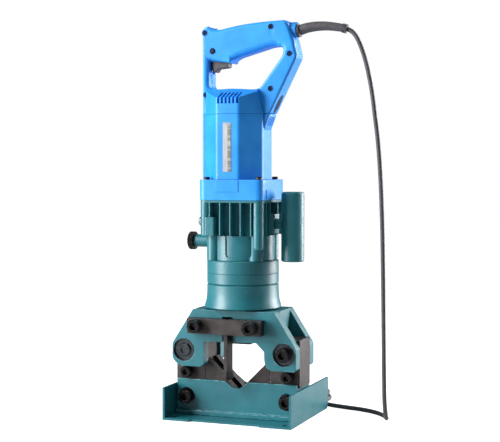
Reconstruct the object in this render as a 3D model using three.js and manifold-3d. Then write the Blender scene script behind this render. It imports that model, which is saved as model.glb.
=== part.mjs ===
// Portable electric-hydraulic shear for angle steel, as an assembly of separate pieces.
// Millimetres, +Z up. The origin is on the ram axis, on the underside of the base tray.
// +X runs along the frame plates towards the side grip, -Y is the front, +Y the back.
import * as THREE from "three";
import { mergeVertices } from "three/addons/utils/BufferGeometryUtils.js";
import Module from "manifold-3d";

const wasm = await Module();
wasm.setup();

// ---- Driving dimensions ----
const GAP = 0.3; // left between pieces that touch
const RUN = 0.35; // radial clearance of what turns or slides
const SLIP = 0.15; // radial clearance of what is pressed on a shaft

// base tray
const TRAY_HALF_WIDTH = 91;
const TRAY_FRONT = -64.3;
const TRAY_REAR = 96.8;
const TRAY_WALL_HEIGHT = 43.7;
const TRAY_SHEET = 3;
const TRAY_LIP_CUT = 4;
const TRAY_BOLT_RADIUS = 4.5;
const TRAY_BOLT_INSET = { side: 11, front: 10, rear: 14 };

// frame
const PLATE_HALF_WIDTH = 88.6;
const PLATE_TOP_HALF_WIDTH = 58.2;
const PLATE_THICKNESS = 16;
const PLATE_BOTTOM = 70;
const PLATE_SHOULDER = 100.5;
const PLATE_TOP = 147.6;
const WINDOW_HALF_WIDTH = 43;
const WINDOW_TOP = 104.5;
const COLUMN_HALF_DEPTH = 21.2;
const COLUMN_TOP = 109.9;
const BLOCK_HALF_WIDTH = 86;
const BLOCK_HALF_DEPTH = 26;
const BLOCK_SEAT = 46;
const BLOCK_LIP = 51;
const HEAD_HALF_WIDTH = 60;
const HEAD_HEIGHT = 25;

// dies and blade
const V_BOTTOM = 36;
const DIE_TOP = 79;
const DIE_FOOT = 27;
const DIE_THICKNESS = 13.5;
const BLADE_CLEARANCE = 0.35;
const BLADE_NOSE_HALF_WIDTH = 13;
const BLADE_HALF_WIDTH = 36;
const BLADE_NOSE = 99;
const RAM_STROKE = 64;

// upper bar and hold-down
const BAR_HALF_LENGTH = 52.5;
const BAR_CENTRE = -8.4;
const BAR_THICKNESS = 13;
const BAR_BOTTOM = 116.5;
const BAR_HEIGHT = 20.5;
const SLOT_WIDTH = 15;
const HOLD_DOWN_TRAVEL = 15;
const HOLD_DOWN_THICKNESS = 5;
const HOLD_DOWN_FOOT = 55;

// cap screws: thread radius, head radius, head height and, where it is cut, socket radius
const M5 = { shank: 2.5, head: 4.3, height: 5 };
const M10 = { shank: 5, head: 8, height: 10, socket: 4.4 };
const M12 = { shank: 6, head: 9.2, height: 12, socket: 5.5 };

// hydraulics
const RAM_RADIUS = 20.5;
const CYLINDER_BORE = 40;
const CYLINDER_FOOT_RADIUS = 51.9;
const CYLINDER_RADIUS = 48.5;
const CYLINDER_HEIGHT = 32;
const RESERVOIR_HEIGHT = 32;
const CYLINDER_FLOOR = 2;
const PUMP_RADIUS = 43;
const PUMP_HEIGHT = 33;
const PISTON_ROOM = 12;

// gear housing and motor
const HOUSING_HALF_X = 45;
const HOUSING_HALF_Y = 48;
const HOUSING_HEIGHT = 47;
const FIN_DEPTH = 9;
const FIN_PITCH = 14.6;
const FIN_THICKNESS = 2.4;
const FLANGE_HEIGHT = 27;
const MOTOR_CENTRE = -5.85;
const MOTOR_HALF_X = 40.85;
const MOTOR_HALF_Y = 43;
const MOTOR_FLAT = 16;
const MOTOR_SPINE = 15;
const MOTOR_SPINE_REACH = 6.5;
const MOTOR_HEIGHT = 86.5;
const STATOR_RADIUS = 38;
const ARMATURE_RADIUS = 23;
const SHAFT_RADIUS = 4;

// gears
const MODULE = 1;
const PINION_TEETH = 10;
const WHEEL_TEETH = 30;
const PRESSURE_ANGLE = (20 * Math.PI) / 180;
const TOOTH_TIP = 0.9;
const BACKLASH = 0.25;
const ECCENTRICITY = 2.5;
const PUMP_SHAFT_RADIUS = 6;

// handle
const HANDLE_HALF_DEPTH = 15;
const HANDLE_WALL = 3;
const HANDLE_HEIGHT = 123.5;
const HANDLE_EDGE = 3;
const LEG_OVERHANG = 8.6;
const LEG_RUN_OUT = 22.5;

// side grip and release valve
const GRIP_RADIUS = 15.4;
const GRIP_LENGTH = 93;
const GRIP_REACH = 71;
const GRIP_BELOW_NECK = 50;
const KNOB_RADIUS = 12.3;
const KNOB_THICKNESS = 8;
const KNOB_REACH = 70;

// cord
const CORD_DIAMETER = 6;
const BOOT_RADIUS = 6.2;
const COIL_MEAN_RADIUS = 35;
const COIL_TURNS_ACROSS = 3;
const COIL_LAYERS = 2;

// ---- Heights worked out from the sizes above ----
const CYLINDER_Z = PLATE_TOP + 1.9;
const RESERVOIR_Z = CYLINDER_Z + CYLINDER_HEIGHT + GAP;
const PUMP_Z = RESERVOIR_Z + RESERVOIR_HEIGHT + GAP;
const HOUSING_Z = PUMP_Z + PUMP_HEIGHT + GAP;
const FLANGE_Z = HOUSING_Z + HOUSING_HEIGHT + GAP;
const MOTOR_Z = FLANGE_Z + FLANGE_HEIGHT + GAP;
const HANDLE_Z = MOTOR_Z + MOTOR_HEIGHT + GAP;
const HEAD_Z = PLATE_TOP - HEAD_HEIGHT;
const PISTON_TOP = PUMP_Z + PISTON_ROOM - GAP - 1.5;
const PISTON_THICKNESS = PISTON_TOP - CYLINDER_Z - CYLINDER_FLOOR - GAP - RAM_STROKE;
const RAM_FOOT = BLADE_NOSE + 47;
const PLATE_REAR_FACE = COLUMN_HALF_DEPTH + GAP;
const PLATE_FACE = PLATE_REAR_FACE + PLATE_THICKNESS;
const SLOT_CENTRE = BAR_CENTRE + 0.9;
const GEAR_CENTRES = (MODULE * (PINION_TEETH + WHEEL_TEETH)) / 2 + 0.1;
const WHEEL_X = MOTOR_CENTRE + GEAR_CENTRES;

// ---- Solids: closed geometries joined and cut ----
const toSolid = (geometry) => {
  const bare = geometry.index ? geometry.toNonIndexed() : geometry.clone();
  bare.deleteAttribute("normal");
  bare.deleteAttribute("uv");
  const merged = mergeVertices(bare, 1e-4);
  return new wasm.Manifold(
    new wasm.Mesh({
      numProp: 3,
      vertProperties: merged.attributes.position.array,
      triVerts: new Uint32Array(merged.index.array),
    }),
  );
};

const toGeometry = (solid) => {
  const mesh = solid.getMesh();
  const geometry = new THREE.BufferGeometry();
  geometry.setAttribute("position", new THREE.BufferAttribute(mesh.vertProperties.slice(), 3));
  geometry.setIndex(new THREE.BufferAttribute(mesh.triVerts.slice(), 1));
  const flat = geometry.toNonIndexed();
  flat.computeVertexNormals();
  return flat;
};

const join = (...geometries) =>
  toGeometry(geometries.map(toSolid).reduce((a, b) => a.add(b)));

const cut = (geometry, ...tools) =>
  toGeometry(tools.map(toSolid).reduce((a, b) => a.subtract(b), toSolid(geometry)));

// ---- Shapes ----
// A closed outline of [x, y] or [x, y, corner radius] points.
const outline = (points) => {
  const shape = new THREE.Shape();
  points.forEach(([x, y, r = 0], i) => {
    const [px, py] = points[(i + points.length - 1) % points.length];
    const [nx, ny] = points[(i + 1) % points.length];
    const before = new THREE.Vector2(px - x, py - y);
    const after = new THREE.Vector2(nx - x, ny - y);
    const reach = Math.min(r, before.length() / 2, after.length() / 2);
    before.setLength(reach);
    after.setLength(reach);
    if (i === 0) shape.moveTo(x + before.x, y + before.y);
    else shape.lineTo(x + before.x, y + before.y);
    if (reach > 0) shape.quadraticCurveTo(x, y, x + after.x, y + after.y);
  });
  shape.closePath();
  return shape;
};

const rectangle = (x0, x1, y0, y1, r = 0) =>
  outline([[x0, y0, r], [x1, y0, r], [x1, y1, r], [x0, y1, r]]);

// Extruded up from z0 to z1.
const upright = (shape, z0, z1, curveSegments = 5) =>
  new THREE.ExtrudeGeometry(shape, { depth: z1 - z0, bevelEnabled: false, curveSegments })
    .translate(0, 0, z0);

// An outline in X and Z, extruded from y0 (front) to y1 (back).
const slab = (shape, y0, y1, curveSegments = 5) =>
  new THREE.ExtrudeGeometry(shape, { depth: y1 - y0, bevelEnabled: false, curveSegments })
    .rotateX(Math.PI / 2)
    .translate(0, y1, 0);

const box = (x0, x1, y0, y1, z0, z1) =>
  new THREE.BoxGeometry(x1 - x0, y1 - y0, z1 - z0)
    .translate((x0 + x1) / 2, (y0 + y1) / 2, (z0 + z1) / 2);

// A round bar along Z, from z0 to z1, with a second radius at its top if it tapers.
const rod = (radius, z0, z1, x = 0, y = 0, sides = 28, topRadius = radius) =>
  new THREE.CylinderGeometry(topRadius, radius, z1 - z0, sides)
    .rotateX(Math.PI / 2)
    .translate(x, y, (z0 + z1) / 2);

const rodX = (radius, x0, x1, y, z, sides = 24) =>
  new THREE.CylinderGeometry(radius, radius, x1 - x0, sides)
    .rotateZ(Math.PI / 2)
    .translate((x0 + x1) / 2, y, z);

const rodY = (radius, y0, y1, x, z, sides = 24) =>
  new THREE.CylinderGeometry(radius, radius, y1 - y0, sides)
    .translate(x, (y0 + y1) / 2, z);

// A ring along Z.
const ring = (outer, inner, z0, z1, x = 0, y = 0, sides = 28) =>
  cut(rod(outer, z0, z1, x, y, sides), rod(inner, z0 - 1, z1 + 1, x, y, sides));

const mirrorY = (geometry) => {
  const flipped = (geometry.index ? geometry.toNonIndexed() : geometry.clone()).scale(1, -1, 1);
  const position = flipped.attributes.position;
  for (let i = 0; i < position.count; i += 3) {
    const a = new THREE.Vector3().fromBufferAttribute(position, i + 1);
    const b = new THREE.Vector3().fromBufferAttribute(position, i + 2);
    position.setXYZ(i + 1, b.x, b.y, b.z);
    position.setXYZ(i + 2, a.x, a.y, a.z);
  }
  flipped.computeVertexNormals();
  return flipped;
};

const extrudedAlong = (section, points, steps) =>
  new THREE.ExtrudeGeometry(section, {
    steps,
    bevelEnabled: false,
    extrudePath: new THREE.CatmullRomCurve3(points, false, "centripetal"),
  });

const roundSection = (radius, sides) => {
  const points = [];
  for (let i = 0; i < sides; i++) {
    const angle = (2 * Math.PI * i) / sides;
    points.push(new THREE.Vector2(radius * Math.cos(angle), radius * Math.sin(angle)));
  }
  return new THREE.Shape(points);
};

// ---- Materials ----
const finish = (color, roughness, metalness) =>
  new THREE.MeshStandardMaterial({ color, roughness, metalness });
const teal = finish(0x2f6f78, 0.35, 0.2);
const blue = finish(0x3f9bea, 0.45, 0);
const blackSteel = finish(0x4a4a4e, 0.45, 0.7);
const brightSteel = finish(0xb8bcc0, 0.25, 1);
const darkRubber = finish(0x55525a, 0.8, 0);
const darkPlastic = finish(0x5a5a60, 0.5, 0);
const navy = finish(0x123a66, 0.5, 0);
const copper = finish(0xb0703a, 0.35, 1);

const shear = new THREE.Group();
const add = (name, geometry, material) => {
  const mesh = new THREE.Mesh(geometry, material);
  mesh.name = name;
  shear.add(mesh);
};

// A socket-head cap screw along Y: its head in front of seat, its shank behind it.
const capScrewY = (size, x, z, seat, length) =>
  cut(
    join(
      rodY(size.head, seat - size.height, seat, x, z),
      rodY(size.shank, seat - 1, seat + length, x, z, 16),
    ),
    rodY(size.socket, seat - size.height - 1, seat - size.height / 2, x, z, 6),
  );
const screwHoleY = (size, x, z, y0, y1) => rodY(size.shank + GAP, y0, y1, x, z, 16);

// ---- Base tray: one folded sheet with two side walls, open at the front and back ----
const LOWER_SCREW_X = 72;
const LOWER_SCREW_Z = 27.5;
const LOWER_SCREW_DEPTH = 3;
function baseTray() {
  const inner = TRAY_HALF_WIDTH - TRAY_SHEET;
  const section = new THREE.Shape([
    new THREE.Vector2(-TRAY_HALF_WIDTH, 0),
    new THREE.Vector2(TRAY_HALF_WIDTH, 0),
    new THREE.Vector2(TRAY_HALF_WIDTH, TRAY_WALL_HEIGHT),
    new THREE.Vector2(inner, TRAY_WALL_HEIGHT),
    new THREE.Vector2(inner, TRAY_SHEET),
    new THREE.Vector2(-inner, TRAY_SHEET),
    new THREE.Vector2(-inner, TRAY_WALL_HEIGHT),
    new THREE.Vector2(-TRAY_HALF_WIDTH, TRAY_WALL_HEIGHT),
  ]);
  const lipCut = upright(
    outline([[-54, TRAY_FRONT - 1], [48, TRAY_FRONT - 1], [44, TRAY_FRONT + TRAY_LIP_CUT],
      [-50, TRAY_FRONT + TRAY_LIP_CUT]]),
    -1, TRAY_SHEET + 1,
  );
  const boltX = TRAY_HALF_WIDTH - TRAY_BOLT_INSET.side;
  const boltRows = [TRAY_FRONT + TRAY_BOLT_INSET.front, TRAY_REAR - TRAY_BOLT_INSET.rear];
  const bolts = boltRows.flatMap((y) =>
    [-boltX, boltX].map((x) => rod(TRAY_BOLT_RADIUS, -1, TRAY_SHEET + 1, x, y, 20)));
  const corner = 7;
  const rearBevels = slab(
    outline([[TRAY_REAR + 1, -1], [TRAY_REAR + 1, corner], [TRAY_REAR - corner, -1]]),
    -TRAY_HALF_WIDTH - 1, -inner + 0.01,
  ).rotateZ(Math.PI / 2);
  return cut(slab(section, TRAY_FRONT, TRAY_REAR), lipCut, rearBevels, ...bolts);
}
add("base_tray", baseTray(), teal);

// ---- Lower block: carries the dies and columns in a channel between two lips ----
function lowerBlock() {
  const z0 = TRAY_SHEET + GAP;
  const notch = 5;
  const side = BLOCK_LIP - V_BOTTOM;
  const front = slab(
    outline([
      [-BLOCK_HALF_WIDTH, z0], [BLOCK_HALF_WIDTH, z0], [BLOCK_HALF_WIDTH, BLOCK_LIP],
      [side + 2, BLOCK_LIP], [notch, V_BOTTOM + 6], [-notch, V_BOTTOM + 6], [-side - 2, BLOCK_LIP],
      [-BLOCK_HALF_WIDTH, BLOCK_LIP],
    ]),
    -BLOCK_HALF_DEPTH, BLOCK_HALF_DEPTH,
  );
  const channel = COLUMN_HALF_DEPTH + GAP;
  const beyond = BLOCK_HALF_WIDTH + 1;
  const seat = box(-beyond, beyond, -channel, channel, BLOCK_SEAT, BLOCK_LIP + 1);
  const pocketHalf = WINDOW_HALF_WIDTH + 2.7;
  const pocket = box(-pocketHalf, pocketHalf, -channel, channel, DIE_FOOT - GAP, BLOCK_LIP + 1);
  const bladeHalf = BLADE_HALF_WIDTH + 1.5;
  const slugWell = box(-bladeHalf, bladeHalf, -11, 11, z0 - 1, DIE_FOOT);
  const face = -BLOCK_HALF_DEPTH;
  const screws = [-LOWER_SCREW_X, LOWER_SCREW_X].flatMap((x) => [
    rodY(M12.head + 2.3, face - 1, face + LOWER_SCREW_DEPTH, x, LOWER_SCREW_Z, 28),
    screwHoleY(M12, x, LOWER_SCREW_Z, face - 1, BLOCK_HALF_DEPTH - 8),
  ]);
  const foot = slab(
    outline([[-BLOCK_HALF_WIDTH, z0], [BLOCK_HALF_WIDTH, z0], [BLOCK_HALF_WIDTH, z0 + 6],
      [-BLOCK_HALF_WIDTH, z0 + 6]]),
    -BLOCK_HALF_DEPTH - 5, -BLOCK_HALF_DEPTH + 1,
  );
  return cut(join(front, foot), seat, pocket, slugWell, ...screws);
}
add("lower_block", lowerBlock(), teal);
for (const [side, s] of [["left", -1], ["right", 1]]) {
  add(
    "lower_block_screw_" + side,
    capScrewY(M12, s * LOWER_SCREW_X, LOWER_SCREW_Z, -BLOCK_HALF_DEPTH + LOWER_SCREW_DEPTH - GAP, 26),
    blackSteel,
  );
}

// ---- Columns: hardened blocks between the frame plates ----
const COLUMN_INNER = WINDOW_HALF_WIDTH + 3;
const PLATE_SCREW_X = 71.5;
const PLATE_SCREW_Z = 92;
const COLUMN_SCREW_X = 72.5;
const COLUMN_SCREW_Z = 60.5;
for (const [side, s] of [["left", -1], ["right", 1]]) {
  const xs = [s * COLUMN_INNER, s * PLATE_HALF_WIDTH].sort((a, b) => a - b);
  const D = COLUMN_HALF_DEPTH;
  const column = cut(
    box(xs[0], xs[1], -D, D, BLOCK_SEAT + GAP, COLUMN_TOP),
    screwHoleY(M12, s * PLATE_SCREW_X, PLATE_SCREW_Z, -D - 1, D + 1),
    screwHoleY(M10, s * COLUMN_SCREW_X, COLUMN_SCREW_Z, -D - 1, 0),
  );
  add("column_" + side, column, blackSteel);
  add(
    "column_screw_" + side,
    capScrewY(M10, s * COLUMN_SCREW_X, COLUMN_SCREW_Z, -COLUMN_HALF_DEPTH - GAP, 20),
    blackSteel,
  );
}

// ---- Frame plates: a window with a chamfered head, two counterbores and a hold-down slot ----
const COUNTERBORE_RADIUS = 15.3;
const COUNTERBORE_DEPTH = 4;
function framePlate(withSlot) {
  const W = PLATE_HALF_WIDTH;
  const edge = WINDOW_HALF_WIDTH - 1.2;
  const plate = slab(
    outline([
      [-PLATE_TOP_HALF_WIDTH, PLATE_TOP, 1], [-W, PLATE_SHOULDER, 3], [-W, PLATE_BOTTOM + 9, 6],
      [-W + 10, PLATE_BOTTOM, 6], [-edge - 4, PLATE_BOTTOM, 3], [-edge, PLATE_BOTTOM + 5, 2],
      [-edge, WINDOW_TOP], [edge - 9, WINDOW_TOP + 1], [edge + 2, WINDOW_TOP - 10],
      [edge + 2, PLATE_BOTTOM + 10, 6], [edge + 9, PLATE_BOTTOM, 6], [W - 3, PLATE_BOTTOM, 1],
      [W, PLATE_BOTTOM + 3, 1], [W, PLATE_SHOULDER, 3], [PLATE_TOP_HALF_WIDTH, PLATE_TOP, 1],
    ]),
    -PLATE_FACE, -PLATE_REAR_FACE, 4,
  );
  const face = -PLATE_FACE;
  const tools = [-PLATE_SCREW_X, PLATE_SCREW_X].flatMap((x) => [
    rodY(COUNTERBORE_RADIUS, face - 1, face + COUNTERBORE_DEPTH, x, PLATE_SCREW_Z, 32),
    screwHoleY(M12, x, PLATE_SCREW_Z, face, -PLATE_REAR_FACE + 1),
  ]);
  if (withSlot) {
    const half = SLOT_WIDTH / 2;
    tools.push(box(SLOT_CENTRE - half, SLOT_CENTRE + half, face - 1, -PLATE_REAR_FACE + 1,
      WINDOW_TOP - 5, HOLD_DOWN_SLOT_TOP));
    for (const s of [-1, 1]) {
      tools.push(screwHoleY(M12, BAR_CENTRE + s * BAR_SCREW_SPREAD, BAR_SCREW_Z, face - 1, face + 11));
    }
  }
  return cut(plate, ...tools);
}
const BAR_SCREW_SPREAD = 39;
const BAR_SCREW_Z = BAR_BOTTOM + BAR_HEIGHT / 2 + 0.6;
const HOLD_DOWN_HEAD = 10;
const HOLD_DOWN_HEAD_Z = WINDOW_TOP + 9;
const HOLD_DOWN_SLOT_TOP = HOLD_DOWN_HEAD_Z + HOLD_DOWN_HEAD + HOLD_DOWN_TRAVEL + GAP;
add("front_frame_plate", framePlate(true), teal);
add("rear_frame_plate", mirrorY(framePlate(false)), teal);
add(
  "plate_screw_right",
  capScrewY(M12, PLATE_SCREW_X, PLATE_SCREW_Z, -PLATE_FACE + COUNTERBORE_DEPTH - GAP, 40),
  blackSteel,
);
const FLUSH_M12 = { ...M12, height: 3.2 };
add(
  "plate_screw_left",
  capScrewY(FLUSH_M12, -PLATE_SCREW_X, PLATE_SCREW_Z, -PLATE_FACE + COUNTERBORE_DEPTH - GAP, 40),
  brightSteel,
);

// ---- Dies: two plates with a 90 degree V, and the well for the blade between them ----
function lowerDie(y0, y1) {
  const half = WINDOW_HALF_WIDTH + 2.4;
  const reach = DIE_TOP - V_BOTTOM;
  return slab(
    outline([
      [-half, DIE_FOOT], [half, DIE_FOOT], [half, DIE_TOP], [reach, DIE_TOP], [0, V_BOTTOM, 1.5],
      [-reach, DIE_TOP], [-half, DIE_TOP],
    ]),
    y0, y1, 3,
  );
}
const dieFace = COLUMN_HALF_DEPTH - DIE_THICKNESS;
add("front_lower_die", lowerDie(-COLUMN_HALF_DEPTH, -dieFace), blackSteel);
add("rear_lower_die", lowerDie(dieFace, COLUMN_HALF_DEPTH), blackSteel);

// ---- Head block: guides the ram and lets the blade pass ----
const BLADE_HALF_THICKNESS = COLUMN_HALF_DEPTH - DIE_THICKNESS - BLADE_CLEARANCE;
function headBlock() {
  const bladeHalf = BLADE_HALF_WIDTH + RUN;
  const bladeDepth = BLADE_HALF_THICKNESS + RUN;
  const D = COLUMN_HALF_DEPTH;
  return cut(
    box(-HEAD_HALF_WIDTH, HEAD_HALF_WIDTH, -D, D, HEAD_Z, PLATE_TOP),
    rod(RAM_RADIUS + RUN, HEAD_Z - 1, PLATE_TOP + 1, 0, 0, 40),
    box(-bladeHalf, bladeHalf, -bladeDepth, bladeDepth, HEAD_Z - 1, PLATE_TOP + 1),
  );
}
add("head_block", headBlock(), teal);

// ---- Upper bar, its two screws and the hold-down arm that slides behind it ----
const holdDownFront = PLATE_FACE + 8;
function topBar() {
  const z0 = BAR_BOTTOM;
  const z1 = z0 + BAR_HEIGHT;
  const rear = -PLATE_FACE - GAP;
  const front = rear - BAR_THICKNESS;
  const slotHalf = HOLD_DOWN_THICKNESS / 2 + RUN + 1.5;
  const slotFront = -holdDownFront - RUN;
  return cut(
    box(BAR_CENTRE - BAR_HALF_LENGTH, BAR_CENTRE + BAR_HALF_LENGTH, front, rear, z0, z1),
    box(SLOT_CENTRE - slotHalf, SLOT_CENTRE + slotHalf, slotFront, rear + 1, z0 - 1, z1 + 1),
    screwHoleY(M12, BAR_CENTRE - BAR_SCREW_SPREAD, BAR_SCREW_Z, front - 1, 0),
    screwHoleY(M12, BAR_CENTRE + BAR_SCREW_SPREAD, BAR_SCREW_Z, front - 1, 0),
  );
}
add("top_bar", topBar(), blackSteel);
for (const [side, s] of [["left", -1], ["right", 1]]) {
  const seat = -PLATE_FACE - BAR_THICKNESS - 2 * GAP;
  add(
    "bar_screw_" + side,
    capScrewY(M12, BAR_CENTRE + s * BAR_SCREW_SPREAD, BAR_SCREW_Z, seat, 23),
    blackSteel,
  );
}

function holdDownArm() {
  const half = SLOT_WIDTH / 2 - RUN;
  const t = HOLD_DOWN_THICKNESS / 2;
  const head = HOLD_DOWN_HEAD_Z;
  const headTop = head + HOLD_DOWN_HEAD;
  const foot = HOLD_DOWN_FOOT;
  const x = SLOT_CENTRE;
  return join(
    box(x - half, x + half, -PLATE_FACE + GAP, -PLATE_REAR_FACE, head, headTop),
    box(x - t, x + t, -holdDownFront, -PLATE_REAR_FACE - 4, foot + 8, headTop - 1),
    box(x - t - 0.5, x + t + 0.5, -holdDownFront - 4, -PLATE_REAR_FACE - 2, foot, foot + 11),
  );
}
add("hold_down_arm", holdDownArm(), blackSteel);

// ---- Cylinder, reservoir ring, ram, blade ----
add(
  "hydraulic_cylinder",
  cut(
    rod(CYLINDER_FOOT_RADIUS, CYLINDER_Z, CYLINDER_Z + CYLINDER_HEIGHT, 0, 0, 48, CYLINDER_RADIUS),
    rod(CYLINDER_BORE, CYLINDER_Z + CYLINDER_FLOOR, CYLINDER_Z + CYLINDER_HEIGHT + 1, 0, 0, 40),
    rod(RAM_RADIUS + RUN, CYLINDER_Z - 1, CYLINDER_Z + CYLINDER_FLOOR + 1, 0, 0, 40),
  ),
  teal,
);
add(
  "reservoir_ring",
  ring(CYLINDER_RADIUS, CYLINDER_BORE, RESERVOIR_Z, RESERVOIR_Z + RESERVOIR_HEIGHT, 0, 0, 48),
  teal,
);
const SPRING_ROOM = 13.5;
const SPRING_FOOT = RAM_FOOT + 16;
const SEAL_GROOVE = 2.6;
const SEAL_HALF_HEIGHT = 2;
const pistonRadius = CYLINDER_BORE - RUN;
const sealZ = PISTON_TOP - PISTON_THICKNESS / 2;
function ram() {
  const tangHalf = TANG_HALF_WIDTH + GAP;
  const tangDepth = BLADE_HALF_THICKNESS + GAP;
  const groove = [sealZ - SEAL_HALF_HEIGHT, sealZ + SEAL_HALF_HEIGHT];
  return cut(
    join(
      rod(RAM_RADIUS, RAM_FOOT, PISTON_TOP - 1, 0, 0, 40),
      rod(pistonRadius, PISTON_TOP - PISTON_THICKNESS, PISTON_TOP, 0, 0, 40),
    ),
    rod(SPRING_ROOM, SPRING_FOOT - GAP, PISTON_TOP + 1, 0, 0, 28),
    box(-tangHalf, tangHalf, -tangDepth, tangDepth, RAM_FOOT - 1, RAM_FOOT + TANG_HEIGHT + GAP),
    ring(pistonRadius + 1, pistonRadius - SEAL_GROOVE, ...groove, 0, 0, 40),
    rodY(PIN_RADIUS + GAP, -RAM_RADIUS - 1, RAM_RADIUS + 1, 0, PIN_Z, 16),
  );
}
const TANG_HALF_WIDTH = 14;
const TANG_HEIGHT = 12;
const PIN_RADIUS = 3;
const PIN_Z = RAM_FOOT + TANG_HEIGHT / 2;
add("ram", ram(), brightSteel);
const sealHalf = SEAL_HALF_HEIGHT - GAP;
add(
  "piston_seal",
  ring(pistonRadius - 0.1, pistonRadius - SEAL_GROOVE + GAP, sealZ - sealHalf, sealZ + sealHalf, 0, 0, 40),
  darkRubber,
);
function upperBlade() {
  const nose = BLADE_NOSE_HALF_WIDTH;
  const W = BLADE_HALF_WIDTH;
  const T = TANG_HALF_WIDTH;
  const D = BLADE_HALF_THICKNESS;
  const shoulder = BLADE_NOSE + W - nose;
  const top = RAM_FOOT - GAP;
  const tangTop = RAM_FOOT + TANG_HEIGHT;
  return cut(
    slab(
      outline([
        [-nose, BLADE_NOSE], [nose, BLADE_NOSE], [W, shoulder], [W, top], [T, top], [T, tangTop],
        [-T, tangTop], [-T, top], [-W, top], [-W, shoulder],
      ]),
      -D, D,
    ),
    rodY(PIN_RADIUS + GAP, -D - 1, D + 1, 0, PIN_Z, 16),
  );
}
add("upper_blade", upperBlade(), blackSteel);
add("blade_pin", rodY(PIN_RADIUS, -RAM_RADIUS + 2, RAM_RADIUS - 2, 0, PIN_Z, 16), brightSteel);

function returnSpring() {
  const turns = 7;
  const wire = 1.1;
  const radius = SPRING_ROOM - wire - 0.6;
  const z0 = SPRING_FOOT + wire;
  const z1 = PUMP_Z + PISTON_ROOM - GAP - wire;
  const points = [];
  const perTurn = 9;
  for (let i = 0; i <= turns * perTurn; i++) {
    const angle = (2 * Math.PI * i) / perTurn;
    const z = z0 + ((z1 - z0) * i) / (turns * perTurn);
    points.push(new THREE.Vector3(radius * Math.cos(angle), radius * Math.sin(angle), z));
  }
  return extrudedAlong(roundSection(wire, 5), points, turns * perTurn);
}
add("return_spring", returnSpring(), brightSteel);

// ---- Pump body: a round casting with four bosses, the plunger and the relief valve ----
const BOSS_OFFSET = 30;
const BOSS_RADIUS = 9.5;
const ECCENTRIC_RADIUS = 8;
const ECCENTRIC_ROOM = ECCENTRIC_RADIUS + ECCENTRICITY + 1;
const PLUNGER_RADIUS = 4;
const pumpTop = PUMP_Z + PUMP_HEIGHT;
const VALVE_RADIUS = 8.6;
const VALVE_Z = pumpTop - VALVE_RADIUS - 0.6;
const PLUNGER_Z = PUMP_Z + 23;
const eccentricZ0 = PUMP_Z + 18;
const eccentricZ1 = PUMP_Z + 28;
const fourCorners = [[-1, -1], [1, -1], [1, 1], [-1, 1]];
const valveSeatX = -PUMP_RADIUS + 5;
const STEM_RADIUS = 3;
function pumpBody() {
  const bosses = fourCorners.map(([sx, sy]) =>
    rod(BOSS_RADIUS, PUMP_Z, pumpTop, sx * BOSS_OFFSET, sy * BOSS_OFFSET, 20));
  return cut(
    join(rod(PUMP_RADIUS, PUMP_Z, pumpTop, 0, 0, 40), ...bosses),
    rod(CYLINDER_BORE, PUMP_Z - 1, PUMP_Z + PISTON_ROOM, 0, 0, 40),
    rod(ECCENTRIC_ROOM, eccentricZ0 - 1, pumpTop + 1, WHEEL_X, 0, 24),
    rodY(PLUNGER_RADIUS + RUN, 0, PUMP_RADIUS - 8, WHEEL_X, PLUNGER_Z, 16),
    rodX(VALVE_RADIUS + GAP, -PUMP_RADIUS - 20, valveSeatX, 0, VALVE_Z),
  );
}
add("pump_body", pumpBody(), teal);
const plungerFront = ECCENTRIC_RADIUS + ECCENTRICITY + GAP;
const PLUNGER_LENGTH = 16;
add(
  "pump_plunger",
  rodY(PLUNGER_RADIUS, plungerFront, plungerFront + PLUNGER_LENGTH, WHEEL_X, PLUNGER_Z, 16),
  brightSteel,
);

add(
  "release_valve_body",
  cut(
    rodX(VALVE_RADIUS, -KNOB_REACH + GAP, valveSeatX - GAP, 0, VALVE_Z),
    rodX(STEM_RADIUS + RUN, -KNOB_REACH - 1, valveSeatX - 6, 0, VALVE_Z, 16),
  ),
  teal,
);
function releaseKnob() {
  const knurl = [];
  const teeth = 30;
  for (let i = 0; i < 2 * teeth; i++) {
    const angle = (Math.PI * i) / teeth;
    const radius = i % 2 ? KNOB_RADIUS : KNOB_RADIUS - 0.7;
    knurl.push(new THREE.Vector2(radius * Math.cos(angle), radius * Math.sin(angle)));
  }
  const disc = upright(new THREE.Shape(knurl), 0, KNOB_THICKNESS)
    .rotateY(Math.PI / 2)
    .translate(-KNOB_REACH - KNOB_THICKNESS, 0, VALVE_Z);
  return join(disc, rodX(STEM_RADIUS, -KNOB_REACH - 1, valveSeatX - 8, 0, VALVE_Z, 16));
}
add("release_knob", releaseKnob(), blackSteel);

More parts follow.
